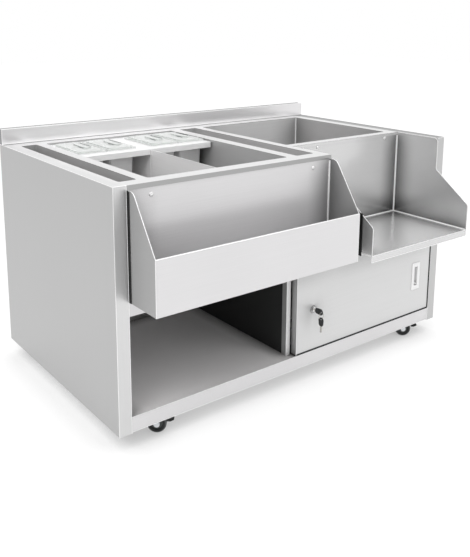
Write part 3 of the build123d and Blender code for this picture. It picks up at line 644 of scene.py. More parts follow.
@dataclass
class Finishes:
    """Materials that the sub-assemblies share, each built once."""

    # Each sheet's tones for faces along Y, X and Z are lit and shaded copies of one steel: painted light and
    # shade
    # Outer sheets
    panel: Material = coat(BrushedSheet(
        "stainless_panel", "#DADADA", "#BEBEBE", "#E6E6E6", 0.36, grain=Grain.UPRIGHT))
    # The right panel's top is darker than its front and side: painted shade
    far_panel: Material = coat(BrushedSheet(
        "stainless_far_panel", "#C6C6C6", "#B4B4B4", "#A2A2A2", 0.36, grain=Grain.UPRIGHT))
    front: Material = coat(BrushedSheet("stainless_front", "#D4D3D4", "#B4B4B4", "#D8D8D8"))
    # The worktop's faces along Y and X are grey and its top near white: painted shade on the nosing
    top: Material = coat(BrushedSheet("stainless_top", "#ABABAB", "#ABABAB", "#EAEAEA", 0.3))
    upstand: Material = coat(BrushedSheet("stainless_upstand", "#ECEBEC", "#8C8C8C", "#EDEDED", 0.31, 0.75))
    # Ambient occlusion darkens the door under the rail and the shelf and round the lock: painted shadow
    door: Material = coat(BrushedSheet(
        "stainless_door", "#E2E2E2", "#C4C4C4", "#E4E4E4", 0.46, 0.35, corner=0.2, corner_mm=115.0))
    # Ambient occlusion darkens the base tray's floor beside the partition and the walls: painted shadow
    floor: Material = coat(BrushedSheet(
        "stainless_floor", "#EAE9EA", "#C4C4C4", "#FAF8F8", 0.45, 0.12, corner=0.0, corner_mm=50.0))
    trim: Material = coat(BrushedSheet("stainless_trim", "#FFFFFF", "#A8A8A8", "#E0E0E0", 0.42, 0.5))
    # Flat grey for beads at the right panel's top and around the upstand: painted shade
    fold: Material = coat(BrushedSheet("stainless_fold", "#A6A6A6", "#A6A6A6", "#A6A6A6", 0.5, 0.4))
    pull: Material = coat(BrushedSheet("satin_pull", "#FFFFFF", "#F6F6F6", "#F0F0F0", 0.4, 0.0))

    # Inner sheets and vessels
    inside: Material = coat(BrushedSheet("stainless_inside", "#BDBCBC", "#AFAEAE", "#C4C4C4", 0.38))
    # Near black sheet for the partition, where the compartment beside it is only in shade: painted shade
    lining: Material = coat(BrushedSheet("dark_lining", "#0E1010", "#0B0D0D", "#141616", 0.6, 0.0))
    # Ambient occlusion darkens the inside corners of the liner, the sink and the slots: painted shade
    liner: Material = coat(BrushedSheet(
        "stainless_liner", "#E4E4E4", "#C6C6C6", "#D8D8D8", 0.4, 0.4, corner=0.45))
    sink: Material = coat(BrushedSheet(
        "stainless_sink", "#EAEAEA", "#C8C7C7", "#D8D8D8", 0.34, 0.4, corner=0.3, corner_mm=130.0))
    slot: Material = coat(BrushedSheet(
        "stainless_slot", "#C4C4C4", "#CFCECE", "#BEBEBE", 0.36, 0.25, corner=0.7, corner_mm=60.0))
    frame: Material = coat(BrushedSheet("stainless_frame", "#FAFAFA", "#F0F0F0", "#F4F4F4", 0.4, 0.05))
    vessel: Material = coat(BrushedSheet("stainless_vessel", "#F8F8F8", "#F4F4F4", "#F8F8F8", 0.42, 0.12))
    plate: Material = coat(BrushedSheet("stainless_plate", "#FAFAFA", "#F8F7F7", "#FAFAFA", 0.42, 0.08))
    # Ambient occlusion within each piece darkens the rail's and the shelf's inside corners: painted shade
    rail: Material = coat(BrushedSheet(
        "stainless_rail", "#E4E3E4", "#A6A6A6", "#EAEAEA", 0.32, 0.28, corner=0.2, corner_mm=85.0,
        corner_local=True))
    shelf: Material = coat(BrushedSheet(
        "stainless_shelf", "#DADADA", "#DADADA", "#FFFFFF", 0.22, 0.7, corner=0.07, corner_mm=80.0,
        corner_local=True))

    # Bare edges, welds and small metal parts
    # Near white beads on rounded edges: the rounding is real, the near white tone paints a highlight
    edge: Material = coat(PolishedMetal("polished_edge", "#FAFAFA", "#F0F0F0", 0.3))
    # White weld beads in inside corners: painted highlight
    seam: Material = coat(PolishedMetal("polished_weld", "#FFFFFF", "#F8F8F8", 0.3, 5.0, 0.2))
    bright: Material = coat(PolishedMetal("satin_nickel", "#F4F4F4", "#E8E8E8", 0.28, 2.0))
    chrome: Material = coat(PolishedMetal("chrome_plate", "#B4B4B4", "#8E8E8E", 0.2, 4.0))
    zinc: Material = coat(PolishedMetal("zinc_plate", "#E2E4E6", "#CDD0D3", 0.34, 6.0))
    blade: Material = coat(PolishedMetal("nickel_silver", "#CFCDC8", "#B9B7B2", 0.25, 2.0))

    # Plastics, rubber and foam
    bow: Material = coat(MouldedPlastic("black_abs", "#26282A", "#1A1C1D", 0.42, 0.6))
    # Black for the strips in the gaps at the rail and the door: painted shade
    rubber: Material = coat(MouldedPlastic("black_epdm", "#101212", "#0A0B0B", 0.7, 1.0))
    nylon: Material = coat(MouldedPlastic("black_nylon", "#1E2020", "#161818", 0.5, 1.0))
    foam: Material = coat(MouldedPlastic("rigid_foam", "#E6DCB8", "#D6CBA2", 0.9, 2.0))
    clear: Material = coat(ClearMoulding("milky_polycarbonate"))
    # Dark grey for thin lines on the lids: painted shadow of the grips
    shadow: Material = coat(MouldedPlastic("grey_polycarbonate", "#5E6462", "#545A58", 0.4, 1.0))


@dataclass
class Shop:
    """Tools and finishes that every sub-assembly needs."""

    finishes: Finishes
    beads: BeadTree
    fasteners: FastenerTree

    def bead(self, name: str, body: str, paths: list[Path], radius_mm: float, finish: Material,
             corner_mm: float = 0.0) -> None:
        """Run a round bead of steel along paths and let it ride on a body.

        Args:
            name: Name of the piece.
            body: CAD body that carries it.
            paths: Corner points of each path, in metres.
            radius_mm: Radius of the bead.
            finish: Material of the bead.
            corner_mm: Radius at the paths' corners.
        """
        piece = self.beads.run(name, paths, radius_mm * MM, finish, corner_mm * MM)
        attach(piece, body)
        log.info("bead %s on %s", name, body)

    def edge(self, name: str, body: str, paths: list[Path], radius_mm: float, corner_mm: float = 0.0) -> None:
        """Run a near white rounded edge along paths of a body: real rounding, with a painted highlight in its
        tone.
        """
        self.bead(name, body, paths, radius_mm, self.finishes.edge, corner_mm)

    def shade(self, name: str, paths: list[Path], radius_mm: float = 1.1) -> None:
        """Run a flat grey bead along paths of the cabinet: painted shade."""
        self.bead(name, "cabinet", paths, radius_mm, self.finishes.fold)

    def seam(self, name: str, paths: list[Path], radius_mm: float = 3.2) -> None:
        """Run a white weld bead along inside corners of the cabinet: painted highlight."""
        self.bead(name, "cabinet", paths, radius_mm, self.finishes.seam)

    def strip(self, name: str, body: str, outline: Path, reach: Point, slot: str, finish: Material) -> None:
        """Set a straight strip on a body.

        Args:
            name: Name of the piece.
            body: CAD body that carries it.
            outline: Corners of the strip's section, in metres.
            reach: Vector along which the section runs, in metres.
            slot: Material slot of the record; not used.
            finish: Material of the strip.
        """
        piece = prism(name, outline, reach, finish)
        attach(piece, body)
        log.info("strip %s on %s", name, body)

    def bar(self, name: str, body: str, low: Point, high: Point, slot: str, finish: Material) -> None:
        """Set a bar with square corners on a body.

        Args:
            name: Name of the piece.
            body: CAD body that carries it.
            low: Its lowest corner at the left front, in metres.
            high: The corner opposite that one, in metres.
            slot: Material slot of the record; passed on to strip, which does not use it.
            finish: Material of the bar.
        """
        x0, y0, z0 = low
        x1, y1, z1 = high
        outline = [(x0, y0, z0), (x1, y0, z0), (x1, y1, z0), (x0, y1, z0)]
        self.strip(name, body, outline, (0.0, 0.0, z1 - z0), slot, finish)


@dataclass
class Carcass:
    """Side panels, base, back and the sheets that line the compartments."""

    shop: Shop
    fold_mm: float = 0.9
    trim_width: float = 0.014
    trim_depth: float = 0.018
    trim_sheet: float = 0.0008
    trim_fold_mm: float = 0.5
    trim_fold_inset: float = 0.0005
    trim_foot: float = 0.001
    # Black strips in the gaps at the rail's ends and beside the door: painted shade of the gaps
    gasket_thick: float = 0.0016
    gasket_depth: float = 0.0115
    gasket_below_top: float = 0.002
    joint_thick: float = 0.0018
    joint_depth: float = 0.016
    joint_height: float = 0.124
    joint_forward: float = 0.009
    # Run in Y for each step in X of the line along which the joint is seen past the rail's front corner
    joint_sight: float = 0.82
    buffer_thick: float = 0.0056
    buffer_depth: float = 0.014
    buffer_proud: float = 0.0008
    rivet_pitch: float = 0.094
    rivet_inset: float = 0.014
    rivet_radius: float = 0.0034
    rivet_steps: int = 14
    # Radius and height of the head's rings, in shares of its radius; the last one is the mandrel's hole
    rivet_profile: tuple[Flat, ...] = ((1.0, 0.0), (0.9, 0.3), (0.6, 0.42), (0.32, 0.44), (0.3, 0.25))

    def build(self) -> None:
        """Dress the carcass and add its folds, trim, black strips that paint the shade in its gaps, and
        rivets.
        """
        f = self.shop.finishes
        wear(f.panel, "left_panel")
        wear(f.far_panel, "right_panel")
        wear(f.inside, "right_liner", "recess_side", "compartment_back")
        wear(f.vessel, "left_liner")
        # The partition is near black: painted shade
        wear(f.lining, "partition")
        wear(f.front, "front_apron", "recess_floor", "recess_back", "rear_panel")
        wear(f.floor, "base_tray")
        self.folds()
        self.post_trim()
        self.buffers()
        self.rivets()

    def folds(self) -> None:
        """Round the folds of the panels, of the base tray and of the partition."""
        paths = []
        for node in ("left_panel", "right_panel"):
            lo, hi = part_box(node)
            outer = lo.x if node == "left_panel" else hi.x
            ridge = [(outer, lo.y, hi.z), (outer, hi.y, hi.z)]
            paths += [[(x, lo.y, lo.z), (x, lo.y, hi.z)] for x in (lo.x, hi.x)]
            paths.append([(lo.x, lo.y, hi.z), (hi.x, lo.y, hi.z)])
            paths.append([(outer, hi.y, lo.z), (outer, hi.y, hi.z)])
            if node == "left_panel":
                paths.append(ridge)
            else:
                # The right panel's outer top fold is a grey bead: painted shade
                self.shop.shade("right_panel_fold", [ridge])
        lo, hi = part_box("base_tray")
        paths += [[(lo.x, lo.y, z), (hi.x, lo.y, z)] for z in (hi.z, lo.z)]
        lo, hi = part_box("partition")
        paths.append([(lo.x, lo.y, lo.z), (lo.x, lo.y, hi.z)])
        self.shop.edge("carcass_folds", "cabinet", paths, self.fold_mm)

    def post_trim(self) -> None:
        """Cap the front edge of the partition with a folded bright trim."""
        lo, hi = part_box("partition")
        left, right = lo.x - self.trim_sheet, lo.x + self.trim_width
        front, back = lo.y - self.trim_sheet, lo.y + self.trim_depth
        outline = [(left, back, lo.z), (left, front, lo.z), (right, front, lo.z), (right, lo.y, lo.z),
                   (lo.x, lo.y, lo.z), (lo.x, back, lo.z)]
        self.shop.strip("post_trim", "cabinet", outline, (0.0, 0.0, hi.z - lo.z), "stainless",
                        self.shop.finishes.trim)
        x, y = lo.x - self.trim_sheet / 2, front + self.trim_fold_inset
        self.shop.edge("post_trim_fold", "cabinet", [[(x, y, lo.z + self.trim_foot), (x, y, hi.z)]],
                       self.trim_fold_mm)

    def buffers(self) -> None:
        """Fill the gaps at the rail's ends and beside the door with black strips: painted shade."""
        rubber = self.shop.finishes.rubber
        rail_lo, rail_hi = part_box("speed_rail")
        x, y = rail_lo.x, rail_hi.y
        self.shop.bar("rail_gasket", "cabinet", (x - self.gasket_thick, y - self.gasket_depth, rail_lo.z),
                      (x, y, rail_hi.z - self.gasket_below_top), "wheel_rubber", rubber)
        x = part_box("shelf")[0].x
        y = rail_lo.y + self.joint_sight * (x - rail_hi.x) - self.joint_forward
        self.shop.bar("rail_end_gasket", "cabinet", (x - self.joint_thick, y, rail_lo.z),
                      (x, y + self.joint_depth, rail_lo.z + self.joint_height), "wheel_rubber", rubber)
        door_lo, door_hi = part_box("door_skin")
        x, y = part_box("right_panel")[0].x, door_lo.y - self.buffer_proud
        self.shop.bar("door_buffer", "cabinet", (x - self.buffer_thick, y, door_lo.z),
                      (x, y + self.buffer_depth, door_hi.z), "wheel_rubber", rubber)

    def row(self, start: float, end: float) -> list[float]:
        """Space rivets evenly from start to end, no closer than their pitch."""
        count = int((end - start) / self.rivet_pitch)
        return [start + k * (end - start) / count for k in range(count + 1)]

    def rivets(self) -> None:
        """Fix the rear panel with rows of blind rivets."""
        lo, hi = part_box("rear_panel")
        left, right = lo.x + self.rivet_inset, hi.x - self.rivet_inset
        low, high = lo.z + self.rivet_inset, hi.z - self.rivet_inset
        points = [(x, hi.y, z) for z in (low, high) for x in self.row(left, right)]
        points += [(x, hi.y, z) for x in (left, right) for z in self.row(low, high)[1:-1]]
        r = self.rivet_radius
        head = turned_head("blind_rivet", [(r * u, r * v) for u, v in self.rivet_profile], self.rivet_steps)
        piece = self.shop.fasteners.run("rear_rivets", head, points, (0.0, 1.0, 0.0), self.shop.finishes.zinc)
        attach(piece, "cabinet")
        log.info("rear rivets: %d", len(points))


@dataclass
class Worktop:
    """Top sheet with its upstand, side wells and sink."""

    shop: Shop
    fold_mm: float = 0.9
    rear_fold_mm: float = 1.9
    foot_mm: float = 1.2
    foot_lift: float = 0.0022
    foot_proud: float = 0.0004
    joint_forward: float = 0.003
    bowl_sheet: float = 0.0026
    weld_mm: float = 2.6
    weld_below_rim: float = 0.001

    def build(self) -> None:
        """Dress the top, round the upstand's folds and weld the sink's corners."""
        f = self.shop.finishes
        wear(f.top, "worktop")
        wear(f.upstand, "upstand")
        wear(f.slot, "left_well", "right_well")
        wear(f.sink, "sink_bowl")
        wear(f.bright, "sink_drain")
        lo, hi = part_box("upstand")
        ends = [[(x, lo.y, lo.z), (x, lo.y, hi.z)] for x in (lo.x, hi.x)]
        self.shop.edge("upstand_folds", "cabinet", [[(lo.x, lo.y, hi.z), (hi.x, lo.y, hi.z)]] + ends,
                       self.fold_mm)
        y, z = lo.y - self.foot_proud, lo.z + self.foot_lift
        self.shop.edge("upstand_foot", "cabinet", [[(lo.x, y, z), (hi.x, y, z)]], self.foot_mm)
        # Grey beads along the upstand's back fold and on the worktop in front of its foot: painted shade
        self.shop.shade("upstand_rear_fold", [[(lo.x, hi.y, hi.z), (hi.x, hi.y, hi.z)]], self.rear_fold_mm)
        y = lo.y - self.joint_forward
        self.shop.shade("upstand_joint", [[(lo.x, y, lo.z), (hi.x, y, lo.z)]])
        lo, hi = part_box("sink_bowl")
        wall = self.bowl_sheet
        self.shop.seam("sink_welds", [
            [(x, y, lo.z + wall), (x, y, hi.z - self.weld_below_rim)]
            for x in (lo.x + wall, hi.x - wall) for y in (lo.y + wall, hi.y - wall)
        ], self.weld_mm)


@dataclass
class IceBin:
    """Insulated bin with its pan frame, pans, lids and dividing plate."""

    shop: Shop
    grip_shift: float = 0.012
    grip_beside: float = 0.0134
    grip_half: float = 0.034
    rib_inset: float = 0.0045
    groove_radius: float = 0.0012
    lid_face: float = 0.0052
    edge_mm: float = 1.2
    edge_gap: float = 0.001

    def build(self) -> None:
        """Dress the bin and everything that lies in it."""
        f = self.shop.finishes
        wear(f.liner, "bin_liner")
        wear(f.inside, "bin_shell")
        wear(f.foam, "bin_foam")
        wear(f.frame, "pan_frame")
        wear(f.plate, "divider_guides", "ice_divider")
        wear(f.bright, "bin_drain")
        for number in range(1, 5):
            wear(f.vessel, f"pan_{number}")
            wear(f.clear, f"lid_{number}")
            self.grip_slot(number)
        lo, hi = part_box("ice_divider")
        x = (lo.x + hi.x) / 2
        self.shop.edge("divider_edge", "ice_plate",
                       [[(x, lo.y + self.edge_gap, hi.z), (x, hi.y - self.edge_gap, hi.z)]], self.edge_mm)

    def grip_slot(self, number: int) -> None:
        """Lay two thin dark beads on one lid, beside the grip and along its far side: painted shadow of the
        grip.

        Args:
            number: Number of the lid.
        """
        lo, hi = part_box(f"lid_{number}")
        x, y = (lo.x + hi.x) / 2 + self.grip_shift, (lo.y + hi.y) / 2
        z = lo.z + self.lid_face
        left, far_shadow_x = x - self.grip_beside, x + self.grip_beside - self.rib_inset
        # Dark beads where the grip's shadow falls: painted shadow
        groove = self.shop.beads.run(f"grip_groove_{number}", [
            [(left, y - self.grip_half, z), (left, y, z)],
            [(far_shadow_x, y - self.grip_half, hi.z), (far_shadow_x, y + self.grip_half, hi.z)],
        ], self.groove_radius, self.shop.finishes.shadow)
        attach(groove, f"lid_body_{number}")


@dataclass
class SpeedRail:
    """Bottle trough on the front of the cabinet."""

    shop: Shop
    lip_above_floor: float = 0.136
    top_run: float = 0.028
    sheet_half: float = 0.0006
    back_gap: float = 0.0014
    edge_mm: float = 1.1
    corner_mm: float = 24.0
    fold_mm: float = 0.9
    weld_inset: float = 0.0018
    weld_below_top: float = 0.004

    def build(self) -> None:
        """Dress the rail, its free edges and its welded corners."""
        wear(self.shop.finishes.rail, "speed_rail")
        lo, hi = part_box("speed_rail")
        lip = lo.z + self.lip_above_floor
        front, back = lo.y + self.sheet_half, hi.y - self.back_gap
        paths = [[(lo.x, front, lip), (hi.x, front, lip)]]
        for x in (lo.x + self.sheet_half, hi.x - self.sheet_half):
            paths.append([(x, front, lip), (x, hi.y - self.top_run, hi.z), (x, back, hi.z)])
        self.shop.edge("rail_edges", "cabinet", paths, self.edge_mm, self.corner_mm)
        self.shop.edge("rail_folds", "cabinet", [
            [(x, lo.y, lo.z), (x, lo.y, lip)] for x in (lo.x, hi.x)
        ], self.fold_mm)
        y = hi.y - self.weld_inset
        self.shop.seam("rail_welds", [
            [(x, y, lo.z + self.weld_inset), (x, y, hi.z - self.weld_below_top)]
            for x in (lo.x + self.weld_inset, hi.x - self.weld_inset)
        ])


@dataclass
class BottleShelf:
    """Stepped shelf that stands in the recess at the right."""

    shop: Shop
    floor_above_lip: float = 0.019
    front_height: float = 0.08
    step_drop: float = 0.101
    step_from_front: float = 0.126
    sheet_half: float = 0.0006
    back_gap: float = 0.0036
    edge_mm: float = 1.1
    corner_mm: float = 12.0
    fold_mm: float = 0.9
    hem_sheet: float = 0.0008
    hem_height: float = 0.0084
    hem_from_back: float = 0.0034
    hem_below_top: float = 0.0004
    hem_from_end: float = 0.0013
    weld_inset: float = 0.0018
    weld_below_top: float = 0.010
    weld_from_front: float = 0.002

    def build(self) -> None:
        """Dress the shelf, its free edges, its hem and its welded corners."""
        wear(self.shop.finishes.shelf, "shelf")
        lo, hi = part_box("shelf")
        floor = lo.z + self.floor_above_lip
        back = hi.y - self.back_gap
        step = lo.y + self.step_from_front
        low = hi.z - self.step_drop
        front = [(lo.y, floor), (lo.y, floor + self.front_height), (step, low)]
        paths = [[(lo.x + self.sheet_half, y, z) for y, z in front + [(back, low)]],
                 [(hi.x - self.sheet_half, y, z) for y, z in front + [(step, hi.z), (back, hi.z)]]]
        self.shop.edge("shelf_edges", "cabinet", paths, self.edge_mm, self.corner_mm)
        self.shop.edge("shelf_folds", "cabinet", [
            [(lo.x, lo.y, floor), (hi.x, lo.y, floor)],
            [(lo.x, lo.y, lo.z), (hi.x, lo.y, lo.z)],
            [(lo.x, lo.y, lo.z), (lo.x, lo.y, floor)],
        ], self.fold_mm)
        self.hem()
        self.welds(floor)

    def hem(self) -> None:
        """Turn over the top edge of the shelf's back."""
        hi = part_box("shelf")[1]
        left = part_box("recess_back")[0].x
        y, top = hi.y - self.hem_from_back, hi.z - self.hem_below_top
        self.shop.bar("shelf_hem", "cabinet", (left, y - self.hem_sheet, top - self.hem_height),
                      (hi.x - self.hem_from_end, y, top), "stainless", self.shop.finishes.shelf)

    def welds(self, floor: float) -> None:
        """Weld the inside corners of the shelf.

        Args:
            floor: Height of the shelf's floor, in metres.
        """
        lo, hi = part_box("shelf")
        left, right, back = lo.x + self.weld_inset, hi.x - self.weld_inset, hi.y - self.weld_inset
        paths = [[(left, back, floor), (right, back, floor)]]
        for x in (right, left):
            paths.append([(x, back, floor), (x, back, hi.z - self.weld_below_top)])
            paths.append([(x, lo.y + self.weld_from_front, floor), (x, back, floor)])
        self.shop.seam("shelf_welds", paths)


@dataclass
class TrayScrews:
    """Cross-head screws that hold the rail and the shelf."""

    shop: Shop
    radius: float = 0.006
    height: float = 0.0032
    sheet: float = 0.0012
    inset: float = 0.064

    def build(self) -> None:
        """Replace the plain CAD screws by cross-head ones on the same seats."""
        screws_lo, screws_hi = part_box("tray_screws")
        seats = []
        for tray, z in (("speed_rail", screws_lo.z + self.radius), ("shelf", screws_hi.z - self.radius)):
            lo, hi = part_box(tray)
            seats += [(x, hi.y - self.sheet, z) for x in (lo.x + self.inset, hi.x - self.inset)]
        head = cross_head("pan_head", self.radius, self.height)
        piece = self.shop.fasteners.run("cross_screws", head, seats, (0.0, -1.0, 0.0),
                                        self.shop.finishes.bright)
        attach(piece, "cabinet")
        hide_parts("tray_screws")
        log.info("cross screws: %d", len(seats))


@dataclass
class CutKey:
    """Flat key: a nickel silver blade with cuts, in a moulded bow with a hole for the ring."""

    shop: Shop
    name: str
    bow_length: float
    bow_width: float
    blade_length: float
    bow_thick: float = 0.0032
    bow_bevel: float = 0.0006
    shoulder: float = 0.004
    hole_from_end: float = 0.006
    hole_radius: float = 0.0026
    blade_width: float = 0.007
    blade_thick: float = 0.002
    blade_bevel: float = 0.0002
    cuts: tuple[float, ...] = (0.0014, 0.0026, 0.0010, 0.0022, 0.0016)

    def build(self, place: Matrix) -> Object:
        """Make the key.

        Args:
            place: Matrix that sets the flat key into the part.

        Returns:
            The joined key as a plain mesh.
        """
        f = self.shop.finishes
        rings = [self.bow_ring(), self.hole_ring()]
        parts = [self.plate("_bow", rings, self.bow_thick, self.bow_bevel),
                 self.plate("_blade", [self.blade_ring()], self.blade_thick, self.blade_bevel)]
        work = bmesh.new()
        for index, part in enumerate(parts):
            done = settle(part.name + "_mesh", part)
            first = len(work.faces)
            work.from_mesh(done.data)
            work.faces.ensure_lookup_table()
            for face in work.faces[first:]:
                face.material_index = index
            bpy.data.objects.remove(done)
        bmesh.ops.remove_doubles(work, verts=work.verts, dist=1e-6)
        bmesh.ops.transform(work, matrix=place, verts=work.verts)
        bmesh.ops.recalc_face_normals(work, faces=work.faces)
        key = write_out(self.name, work)
        for material in (f.bow, f.blade):
            key.data.materials.append(material)
        return key

    def plate(self, ending: str, rings: list[list[Flat]], thick: float, bevel: float) -> Object:
        """Make a flat plate with holes from closed outlines.

        Args:
            ending: End of the plate's name.
            rings: Closed outlines in a plane, the outer one first, in metres.
            thick: Full thickness of the plate, in metres.
            bevel: Rounding of its edges, in metres.

        Returns:
            The plate, flat in XY and centred on its own plane.
        """
        data = bpy.data.curves.new(self.name + ending, "CURVE")
        data.dimensions = "2D"
        data.fill_mode = "BOTH"
        data.extrude = thick / 2 - bevel
        data.bevel_depth = bevel
        data.bevel_resolution = 2
        data.offset = -bevel
        for ring in rings:
            spline = data.splines.new("POLY")
            spline.points.add(len(ring) - 1)
            for point, (u, v) in zip(spline.points, ring):
                point.co = (u, v, 0.0, 1.0)
            spline.use_cyclic_u = True
        plate = bpy.data.objects.new(self.name + ending, data)
        bpy.context.scene.collection.objects.link(plate)
        return plate

    def bow_ring(self) -> list[Flat]:
        """Draw the bow's outline, from its rounded end to its shoulder at 0."""
        end, wide, narrow = self.bow_width * 0.5, self.bow_width * 0.42, self.bow_width * 0.24
        angles = [-math.pi / 2 + math.pi * k / 16 for k in range(17)]
        points = [(self.bow_length - end + end * math.cos(a), end * math.sin(a)) for a in angles]
        return points + [(self.shoulder, wide), (0.0, narrow), (0.0, -narrow), (self.shoulder, -wide)]

    def hole_ring(self) -> list[Flat]:
        """Draw the ring's hole near the end of the bow."""
        middle, r = self.bow_length - self.hole_from_end, self.hole_radius
        angles = [2 * math.pi * k / 20 for k in range(20)]
        return [(middle + r * math.cos(a), r * math.sin(a)) for a in angles]

    def blade_ring(self) -> list[Flat]:
        """Draw the blade's outline with its cuts, pointing away from the bow."""
        length, half = self.blade_length, self.blade_width / 2
        points = [(0.0, -half), (-length + half * 0.5, -half), (-length, -half * 0.3),
                  (-length + half * 0.4, half)]
        start, step = -length * 0.82, length * 0.14
        for k, cut in enumerate(self.cuts):
            u = start + k * step
            points += [(u, half), (u + step * 0.3, half - cut), (u + step * 0.55, half - cut),
                       (u + step * 0.85, half)]
        points.append((0.0, half))
        return points


@dataclass
class DoorSet:
    """Sliding door with its pull, lock and keys."""

    shop: Shop
    fold_mm: float = 0.9
    # Black strip in the gap under the door: painted shade
    brush_proud: float = 0.0006
    brush_depth: float = 0.004
    brush_below: float = 0.0027
    brush_above: float = 0.0030
    stud_radius: float = 0.0038
    stud_rise: float = 0.0085
    stud_steps: int = 18
    stud_seat: float = 0.0126
    stud_aside: float = 0.003
    stud_below_middle: float = 0.0275
    # Radius and height of the stud's crown above its shank, in shares of its radius
    stud_crown: tuple[Flat, ...] = ((1.0, 0.0), (0.92, 0.35), (0.6, 0.6), (0.2, 0.7))
    key_bow: float = 0.030
    spare_bow: float = 0.026

    def build(self) -> None:
        """Dress the door, lay a black strip under its lower edge as painted shade, and make its stud and
        keys.
        """
        f = self.shop.finishes
        wear(f.door, "door_skin")
        wear(f.inside, "door_liner", "door_track")
        wear(f.pull, "door_pull")
        wear(f.nylon, "door_glides", "door_guides")
        wear(f.chrome, "lock_body")
        wear(f.bright, "lock_plug")
        wear(f.zinc, "lock_cam")
        wear(f.blade, "key_ring")
        lo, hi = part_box("door_skin")
        self.shop.edge("door_folds", "door", [
            [(lo.x, lo.y, lo.z), (lo.x, lo.y, hi.z)],
            [(lo.x, lo.y, hi.z), (hi.x, lo.y, hi.z)],
        ], self.fold_mm)
        # Black strip under the door: painted shade of the gap
        self.shop.bar("door_brush", "door", (lo.x, lo.y - self.brush_proud, lo.z - self.brush_below),
                      (hi.x, lo.y + self.brush_depth, lo.z + self.brush_above), "wheel_rubber", f.rubber)
        self.pull_rivet()
        self.keys()

    def pull_rivet(self) -> None:
        """Set the stud that holds the pull's cup, near the bottom of the slot."""
        lo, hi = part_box("door_pull")
        r = self.stud_radius
        crown = [(r * u, self.stud_rise + r * v) for u, v in self.stud_crown]
        head = turned_head("cup_rivet", [(r, 0.0)] + crown, self.stud_steps)
        seat = ((lo.x + hi.x) / 2 + self.stud_aside, lo.y + self.stud_seat,
                (lo.z + hi.z) / 2 - self.stud_below_middle)
        # The stud wears the white weld finish: painted highlight
        piece = self.shop.fasteners.run("pull_rivet", head, [seat], (0.0, -1.0, 0.0), self.shop.finishes.seam)
        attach(piece, "door")

    def keys(self) -> None:
        """Replace the plain CAD keys by cut keys with moulded bows."""
        lo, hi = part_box("key")
        x, z = (lo.x + hi.x) / 2, (lo.z + hi.z) / 2
        shoulder = lo.y + self.key_bow
        out = Matrix(((0, 0, 1, x), (-1, 0, 0, shoulder), (0, 1, 0, z), (0, 0, 0, 1)))
        key = CutKey(self.shop, "lock_key", self.key_bow, hi.z - lo.z, hi.y - shoulder).build(out)
        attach(key, "lock")
        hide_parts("key")
        lo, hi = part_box("spare_key")
        shoulder = hi.z - self.spare_bow
        down = Matrix(((0, 0, 1, x), (0, 1, 0, (lo.y + hi.y) / 2), (1, 0, 0, shoulder), (0, 0, 0, 1)))
        spare = CutKey(self.shop, "hanging_key", self.spare_bow, hi.y - lo.y, shoulder - lo.z).build(down)
        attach(spare, "spare_keys")
        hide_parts("spare_key")
        log.info("keys made")


@dataclass
class CasterSet:
    """Four swivel casters with brake pedals."""

    shop: Shop
    ring_from: float = 0.0150
    tread_from: float = 0.0212
    turn: float = math.radians(52.0)
    pedal_half: float = 0.0107
    # Section of the pedal: distance from the axle towards the far side, and height above the axle
    pedal_section: tuple[Flat, ...] = (
        (-0.0080, 0.0266), (0.0040, 0.0266), (0.0120, 0.0240), (0.0200, 0.0190), (0.0264, 0.0080),
        (0.0350, 0.0080), (0.0440, 0.0122), (0.0446, 0.0142), (0.0350, 0.0108), (0.0280, 0.0112),
        (0.0216, 0.0214), (0.0130, 0.0268), (0.0045, 0.0292), (-0.0080, 0.0292))

    def build(self) -> None:
        """Dress the plates, forks and wheels and add the brake pedals."""
        zinc = self.shop.finishes.zinc
        wear(zinc, "caster_plates", "caster_studs")
        axle = (math.cos(self.turn), math.sin(self.turn), 0.0)
        for number in range(1, 5):
            wear(zinc, f"caster_fork_{number}")
            node = f"caster_wheel_{number}"
            lo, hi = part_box(node)
            centre = (lo + hi) / 2
            tread = CasterTread(f"caster_tread_{number}", tuple(centre), axle, self.ring_from,
                                self.tread_from)
            wear(tread.build(), node)
            self.pedal(number, centre, Vector(axle))

    def pedal(self, number: int, centre: Vector, axle: Vector) -> None:
        """Set a brake pedal over the far side of one wheel.

        Args:
            number: Number of the caster.
            centre: Middle of its wheel, in metres.
            axle: Direction of its axle.
        """
        away = Vector((axle.y, -axle.x, 0.0))
        start = centre - axle * self.pedal_half
        outline = [tuple(start + away * u + Vector((0.0, 0.0, v))) for u, v in self.pedal_section]
        self.shop.strip(f"brake_pedal_{number}", f"fork_{number}", outline, tuple(axle * 2 * self.pedal_half),
                        "wheel_rubber", self.shop.finishes.bow)


def seen_ray(tree: NodeTree) -> NodeSocket:
    """Mark the rays that show a surface, straight, mirrored or through plastic.

    Args:
        tree: Tree of the floor's or of the room's shader.

    Returns:
        1 for such a ray and 0 for one that only carries light.
    """
    path = add_node(tree, "ShaderNodeLightPath")
    seen = path.outputs["Is Camera Ray"]
    for kind in ("Is Glossy Ray", "Is Transmission Ray"):
        both = add_node(tree, "ShaderNodeMath", {0: seen, 1: path.outputs[kind]}, operation="MAXIMUM")
        seen = both.outputs[0]
    return seen


@dataclass(frozen=True)
class Softbox:
    """Square area lamp; place, aim and size are in metres, power in watts."""

    name: str
    place: Point
    aim: Point
    size: float
    power: float

    def hang(self) -> None:
        """Add the lamp to the scene."""
        data = bpy.data.lights.new(self.name, "AREA")
        data.energy = self.power
        data.size = self.size
        lamp = bpy.data.objects.new(self.name, data)
        lamp.location = self.place
        lamp.rotation_euler = (Vector(self.aim) - Vector(self.place)).to_track_quat("-Z", "Y").to_euler()
        bpy.context.scene.collection.objects.link(lamp)


